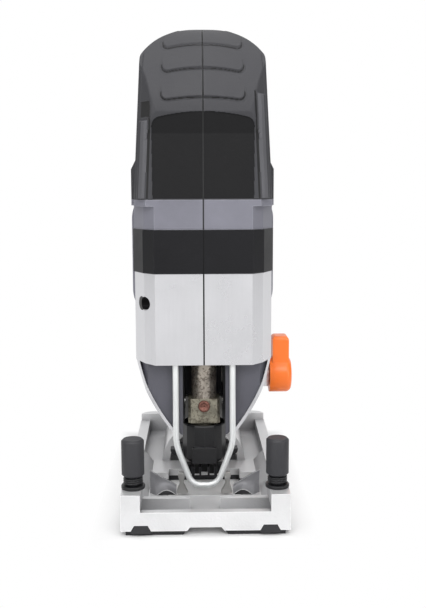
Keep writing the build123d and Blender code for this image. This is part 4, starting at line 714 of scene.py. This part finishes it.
def release_collar():
    low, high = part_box("release_collar")
    y = (low.y + high.y) / 2
    radius = (high.y - low.y) / 2
    form = bmesh.new()
    cup_r = radius - COLLAR_WALL
    cup_z = high.z - CUP_DEPTH
    profile = [(radius - COLLAR_FOOT_CHAMFER, low.z), (radius, low.z + COLLAR_FOOT_CHAMFER),
               (radius, high.z - COLLAR_RIM_DROP), (radius - COLLAR_RIM_IN, high.z), (cup_r, high.z),
               (cup_r, cup_z), (COLLAR_BORE, cup_z), (COLLAR_BORE, low.z)]
    turned(form, (0.0, y), profile, COLLAR_SIDES)
    wing_top = low.z + WING_TALL
    half = high.x
    turn = [math.pi * i / WING_CURVE_POINTS for i in range(WING_CURVE_POINTS + 1)]
    wings = [(half * math.cos(t), wing_top - WING_TALL * math.sin(t) ** WING_CURVE_POWER) for t in turn]
    slab(form, wings, y - WING_DEEP / 2, y + WING_DEEP / 2)
    foot = low.z + TAB_RAISE
    head = foot + TAB_TALL
    tab = [(-TAB_HALF, foot), (TAB_HALF, foot), (TAB_HALF, head), (-TAB_HALF, head)]
    slab(form, tab, y - radius - TAB_PROUD, y - radius + 2 * TAB_PROUD)
    collar = made(form, "clamp_collar", [BLACK], "collar")
    rounded(collar, COLLAR_ROUND)
    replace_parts(collar, "release_collar")


# Rivet of the blade clamp: a copper ring round a sunk head

RIVET_SIDES = 28
RIVET_EDGE = 0.35 * MM
# Shares of the radius, with the depth below the front face
RIVET_RING = (0.85, 0.6)
RIVET_SUNK = [(0.5, 0.5 * MM), (0.3, 0.6 * MM)]
RIVET_PIP = (0.12, 0.35 * MM)


def clamp_rivet():
    low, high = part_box("clamp_rivet")
    radius = (high.x - low.x) / 2
    reach = high.y - low.y
    shares = [(1.0, reach), (1.0, RIVET_EDGE)] + [(share, 0.0) for share in RIVET_RING]
    shares += RIVET_SUNK + [RIVET_PIP, (RIVET_PIP[0], reach)]
    profile = [(share * radius, depth) for share, depth in shares]
    form = bmesh.new()
    turned(form, (0.0, 0.0), profile, RIVET_SIDES)
    middle = Vector(((low.x + high.x) / 2, low.y, (low.z + high.z) / 2))
    seat = Matrix.Translation(middle) @ Matrix.Rotation(-math.pi / 2, 4, "X")
    bmesh.ops.transform(form, verts=form.verts, matrix=seat)
    for face in form.faces:
        face.smooth = True
    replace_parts(made(form, "rivet_ring", [RIVET_COPPER], "plunger"), "clamp_rivet")


# Springs under the fence knobs: one wire wound round each neck

SPRING_TURNS = 3
SPRING_WIRE_R = 0.5 * MM
SPRING_POINTS = 24
WIRE_SIDES = 8
SPRING_INSET = 1.1 * SPRING_WIRE_R


def coil(form, centre, radius, z0, z1):
    """A wire wound round a vertical line, from z0 up to z1."""
    count = SPRING_TURNS * SPRING_POINTS
    rings = []
    for i in range(count + 1):
        angle = math.tau * i / SPRING_POINTS
        out = Vector((math.cos(angle), math.sin(angle), 0.0))
        middle = Vector((*centre, z0 + (z1 - z0) * i / count)) + out * radius
        rings.append([])
        for k in range(WIRE_SIDES):
            turn = math.tau * k / WIRE_SIDES
            rings[-1].append(form.verts.new(
                middle + SPRING_WIRE_R * (out * math.cos(turn) + Vector((0, 0, math.sin(turn))))))
    for ring, after in zip(rings, rings[1:]):
        for k in range(WIRE_SIDES):
            m = (k + 1) % WIRE_SIDES
            form.faces.new((ring[k], after[k], after[m], ring[m])).smooth = True
    form.faces.new(rings[0])
    form.faces.new(rings[-1][::-1])


def knob_springs():
    low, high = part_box("knob_springs")
    radius = (high.y - low.y) / 2 - SPRING_INSET
    form = bmesh.new()
    for knob in ("fence_knob_left", "fence_knob_right"):
        a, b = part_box(knob)
        centre = ((a.x + b.x) / 2, (a.y + b.y) / 2)
        coil(form, centre, radius, low.z + SPRING_WIRE_R, high.z - SPRING_WIRE_R)
    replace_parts(made(form, "knob_coils", [BLACK], "base"), "knob_springs")


# Dark strips that close the plunger channel behind the guard wire

CHEEK_X = (10.3 * MM, 12.9 * MM)
CHEEK_T = 2.0 * MM
CHEEK_GAP = 0.5 * MM
CHEEK_SLANT = 2.5 * MM
CHEEK_BEND = 0.7
CHEEK_ROUND = 0.3 * MM


def channel_cheeks():
    _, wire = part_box("finger_guard")
    low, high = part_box("lower_panel_left")
    inner, outer = CHEEK_X
    front = wire.y + CHEEK_GAP
    form = bmesh.new()
    for side in (-1, 1):
        outline = [(inner, high.z), (outer, high.z), (outer, low.z),
                   ((inner + outer) / 2, low.z - CHEEK_BEND * CHEEK_SLANT), (inner, low.z - CHEEK_SLANT)]
        slab(form, [(side * x, z) for x, z in outline], front, front + CHEEK_T)
    rounded(made(form, "channel_cheeks", [PANEL_DARK], "housing"), CHEEK_ROUND)


# Ears of the blade guide: waisted legs at its two sides

EAR_W = 4.0 * MM
EAR_WAIST = 0.9 * MM
EAR_FOOT_Z = 1.6 * MM
EAR_T = 3.0 * MM
EAR_LAP = 0.6 * MM
EAR_TOP = 2.0 * MM
EAR_PROUD = 1.0 * MM
# Steps from the ear's outer top, outer foot and inner foot
EAR_SHOULDER = [(-0.6 * MM, 0.5 * MM), (-0.3 * MM, -1.4 * MM)]
EAR_FOOT_OUT = (0.4 * MM, 1.3 * MM)
EAR_FOOT_IN = [(-1.2 * MM, 0.0), (-1.0 * MM, 0.9 * MM)]
EAR_ROUND = 0.4 * MM


def guide_ears():
    low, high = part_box("blade_guide")
    inner = high.x - EAR_LAP
    outer = inner + EAR_W
    middle = (inner + outer) / 2
    top = low.z + EAR_TOP
    waist = (top + EAR_FOOT_Z) / 2
    toe = outer + EAR_FOOT_OUT[0]
    right = [(inner, top)] + [(outer + dx, top + dz) for dx, dz in EAR_SHOULDER]
    right += [(middle + EAR_WAIST, waist), (toe, EAR_FOOT_Z + EAR_FOOT_OUT[1]), (toe, EAR_FOOT_Z)]
    right += [(inner + dx, EAR_FOOT_Z + dz) for dx, dz in EAR_FOOT_IN] + [(middle - EAR_WAIST, waist)]
    front = low.y - EAR_PROUD
    form = bmesh.new()
    for side in (-1, 1):
        slab(form, [(side * x, z) for x, z in right], front, front + EAR_T)
    rounded(made(form, "guide_ears", [FORK_ZINC], "fork"), EAR_ROUND)


# Chip scoops: hollowed fins of the base casting at both sides of the blade line, their darker grey and the
# black sheets in their arch mouths painted shade

# Ends of the right scoop's top edge, as (x, y, z)
SCOOP_OUTER = (26.6 * MM, -38.3 * MM, 17.4 * MM)
SCOOP_INNER = (13.6 * MM, -38.9 * MM, 10.2 * MM)
SCOOP_FOOT_Y = (-38.9 * MM, -42.2 * MM)
SCOOP_FOOT_Z = 5.9 * MM
SCOOP_ARCH = 2.6 * MM
SCOOP_ARCH_FROM = 0.28
SCOOP_HOLLOW = 1.0 * MM
SCOOP_T = 0.9 * MM
SCOOP_STEPS = (18, 8)
SCOOP_ROUND = 0.2 * MM


def scoop_spot(u, v):
    """A place on the right scoop: u from the rim inwards, v from the top edge down."""
    top = Vector(SCOOP_OUTER).lerp(Vector(SCOOP_INNER), u)
    arch = max(0.0, (u - SCOOP_ARCH_FROM) / (1 - SCOOP_ARCH_FROM))
    swing = step_up(u, 0.0, SCOOP_ARCH_FROM)
    foot = Vector((top.x, SCOOP_FOOT_Y[0] + (SCOOP_FOOT_Y[1] - SCOOP_FOOT_Y[0]) * swing,
                   SCOOP_FOOT_Z + SCOOP_ARCH * math.sin(math.pi * arch)))
    return top.lerp(foot, v) + Vector((0.0, SCOOP_HOLLOW * math.sin(math.pi * v), 0.0))


def chip_scoops():
    wide, tall = SCOOP_STEPS
    form = bmesh.new()
    for side in (-1, 1):
        skins = []
        for depth in (0.0, SCOOP_T):
            skins.append([])
            for i in range(wide + 1):
                spots = [scoop_spot(i / wide, k / tall) for k in range(tall + 1)]
                skins[-1].append([form.verts.new((side * p.x, p.y + depth, p.z)) for p in spots])
        for skin in skins:
            for a, b in zip(skin, skin[1:]):
                for k in range(tall):
                    form.faces.new((a[k], b[k], b[k + 1], a[k + 1])).smooth = True
        front, back = skins
        rims = []
        for end in (0, -1):
            rims.append((front[end], back[end]))
            rims.append(([column[end] for column in front], [column[end] for column in back]))
        for near, far in rims:
            for k in range(len(near) - 1):
                form.faces.new((near[k], near[k + 1], far[k + 1], far[k]))
        fins = len(form.faces)
        # A black sheet in each arch mouth is painted shade in the opening.
        shares = [SCOOP_ARCH_FROM + (1 - SCOOP_ARCH_FROM) * i / wide for i in range(wide + 1)]
        mouth = [scoop_spot(share, 1.0) for share in shares]
        slab(form, [(side * p.x, p.z) for p in mouth], mouth[0].y + SCOOP_T, mouth[0].y + 2 * SCOOP_T)
        for face in list(form.faces)[fins:]:
            face.material_index = 1
    rounded(made(form, "chip_scoops", [SCOOP_SHADE_CAST, SOLE_BLACK], "base"), SCOOP_ROUND)


# Rounded edges on the moulded and cast CAD pieces

EDGE_ROUNDS = [
    (0.45 * MM, ["head_cover_left", "head_cover_right", "base_plate", "orbit_lever"]),
    (0.35 * MM, ["band_left", "band_right", "lower_panel_left", "lower_panel_right",
                 "fence_knob_left", "fence_knob_right", "knob_washers", "blade_clamp_block",
                 "sole_plate", "trigger", "roller_fork"]),
]
CORNER_JOIN = 0.005 * MM


def joined_corners(obj):
    """Joins the split corners of an imported mesh, so that edges can be rounded."""
    weld = obj.modifiers.new("join_corners", "WELD")
    weld.merge_threshold = CORNER_JOIN
    return obj


release_collar()
clamp_rivet()
knob_springs()
channel_cheeks()
guide_ears()
chip_scoops()
for width, names in EDGE_ROUNDS:
    for name in names:
        rounded(joined_corners(NODES[name]), width)


# Stage

def clear_of_base(tree):
    """How white the floor is seen: 0 under the base, 1 a little way off."""
    axes = axes_of(tree, tree.nodes.new("ShaderNodeNewGeometry").outputs["Position"])
    _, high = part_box("base_plate")
    beside = maths(tree, "SUBTRACT", maths(tree, "ABSOLUTE", axes["X"], 0.0), high.x)
    ahead = maths(tree, "SUBTRACT", maths(tree, "ABSOLUTE", axes["Y"], 0.0), high.y)
    return ranged(tree, maths(tree, "MAXIMUM", beside, ahead), end=SHADOW_REACH)


def white_floor():
    mesh = bpy.data.meshes.new("floor")
    signs = ((-1, -1), (1, -1), (1, 1), (-1, 1))
    mesh.from_pydata([(a * FLOOR_HALF, b * FLOOR_HALF, 0) for a, b in signs], [], [(0, 1, 2, 3)])
    floor = bpy.data.objects.new("floor", mesh)
    bpy.context.scene.collection.objects.link(floor)
    material = bpy.data.materials.new("floor_white")
    material.use_nodes = True
    tree = material.node_tree
    shader = tree.nodes["Principled BSDF"]
    shader.inputs["Base Color"].default_value = FLOOR_WHITE
    shader.inputs["Roughness"].default_value = FLOOR_ROUGH
    glow = tree.nodes.new("ShaderNodeEmission")
    rays = tree.nodes.new("ShaderNodeLightPath")
    seen = maths(tree, "MAXIMUM", rays.outputs["Is Camera Ray"], rays.outputs["Is Glossy Ray"])
    seen = maths(tree, "MAXIMUM", seen, rays.outputs["Is Transmission Ray"])
    share = maths(tree, "MULTIPLY", seen, clear_of_base(tree))
    mix = tree.nodes.new("ShaderNodeMixShader")
    tree.links.new(share, mix.inputs["Fac"])
    tree.links.new(shader.outputs["BSDF"], mix.inputs[1])
    tree.links.new(glow.outputs["Emission"], mix.inputs[2])
    tree.links.new(mix.outputs["Shader"], tree.nodes["Material Output"].inputs["Surface"])
    mesh.materials.append(material)


def side_shade(tree):
    """How bright the studio is in a direction: white in front and behind, dim to the sides."""
    axes = axes_of(tree, tree.nodes.new("ShaderNodeTexCoord").outputs["Generated"])
    sideways = maths(tree, "ABSOLUTE", axes["X"], 0.0)
    return ranged(tree, sideways, 1.0, SIDE_SHADE, start=SIDE_SHADE_FROM)


def white_world():
    world = bpy.data.worlds.new("studio")
    bpy.context.scene.world = world
    world.use_nodes = True
    tree = world.node_tree
    ground = tree.nodes["Background"]
    ground.inputs["Color"].default_value = WHITE
    rays = tree.nodes.new("ShaderNodeLightPath")
    glossy = maths(tree, "MULTIPLY", rays.outputs["Is Glossy Ray"], GLOSS_STRENGTH - SKY_STRENGTH)
    light = maths(tree, "MULTIPLY", side_shade(tree), maths(tree, "ADD", glossy, SKY_STRENGTH))
    tree.links.new(light, ground.inputs["Strength"])
    seen = tree.nodes.new("ShaderNodeBackground")
    seen.inputs["Color"].default_value = WHITE
    seen.inputs["Strength"].default_value = 1.0
    fac = maths(tree, "MAXIMUM", rays.outputs["Is Camera Ray"], rays.outputs["Is Transmission Ray"])
    mix = tree.nodes.new("ShaderNodeMixShader")
    tree.links.new(fac, mix.inputs["Fac"])
    tree.links.new(ground.outputs["Background"], mix.inputs[1])
    tree.links.new(seen.outputs["Background"], mix.inputs[2])
    tree.links.new(mix.outputs["Shader"], tree.nodes["World Output"].inputs["Surface"])


def soft_box(name, place, target, size, power):
    light = bpy.data.lights.new(name, "AREA")
    light.shape = "RECTANGLE"
    light.size, light.size_y = size
    light.energy = power
    lamp = bpy.data.objects.new(name, light)
    lamp.location = place
    lamp.rotation_euler = (Vector(target) - Vector(place)).to_track_quat("-Z", "Y").to_euler()
    bpy.context.scene.collection.objects.link(lamp)


def camera():
    data = bpy.data.cameras.new("camera")
    data.lens = CAMERA_LENS_MM
    data.sensor_width = CAMERA_SENSOR_MM
    data.clip_start = CAMERA_NEAR
    cam = bpy.data.objects.new("camera", data)
    cam.location = CAMERA_PLACE
    aim = Euler((math.radians(90 - CAMERA_PITCH_DEG), 0.0, -math.radians(CAMERA_YAW_DEG))).to_matrix()
    cam.rotation_euler = (aim @ Matrix.Rotation(-math.radians(CAMERA_ROLL_DEG), 3, "Z")).to_euler()
    bpy.context.scene.collection.objects.link(cam)
    bpy.context.scene.camera = cam


bpy.context.scene.view_settings.view_transform = "Standard"
white_floor()
white_world()
for box in SOFT_BOXES:
    soft_box(*box)
camera()
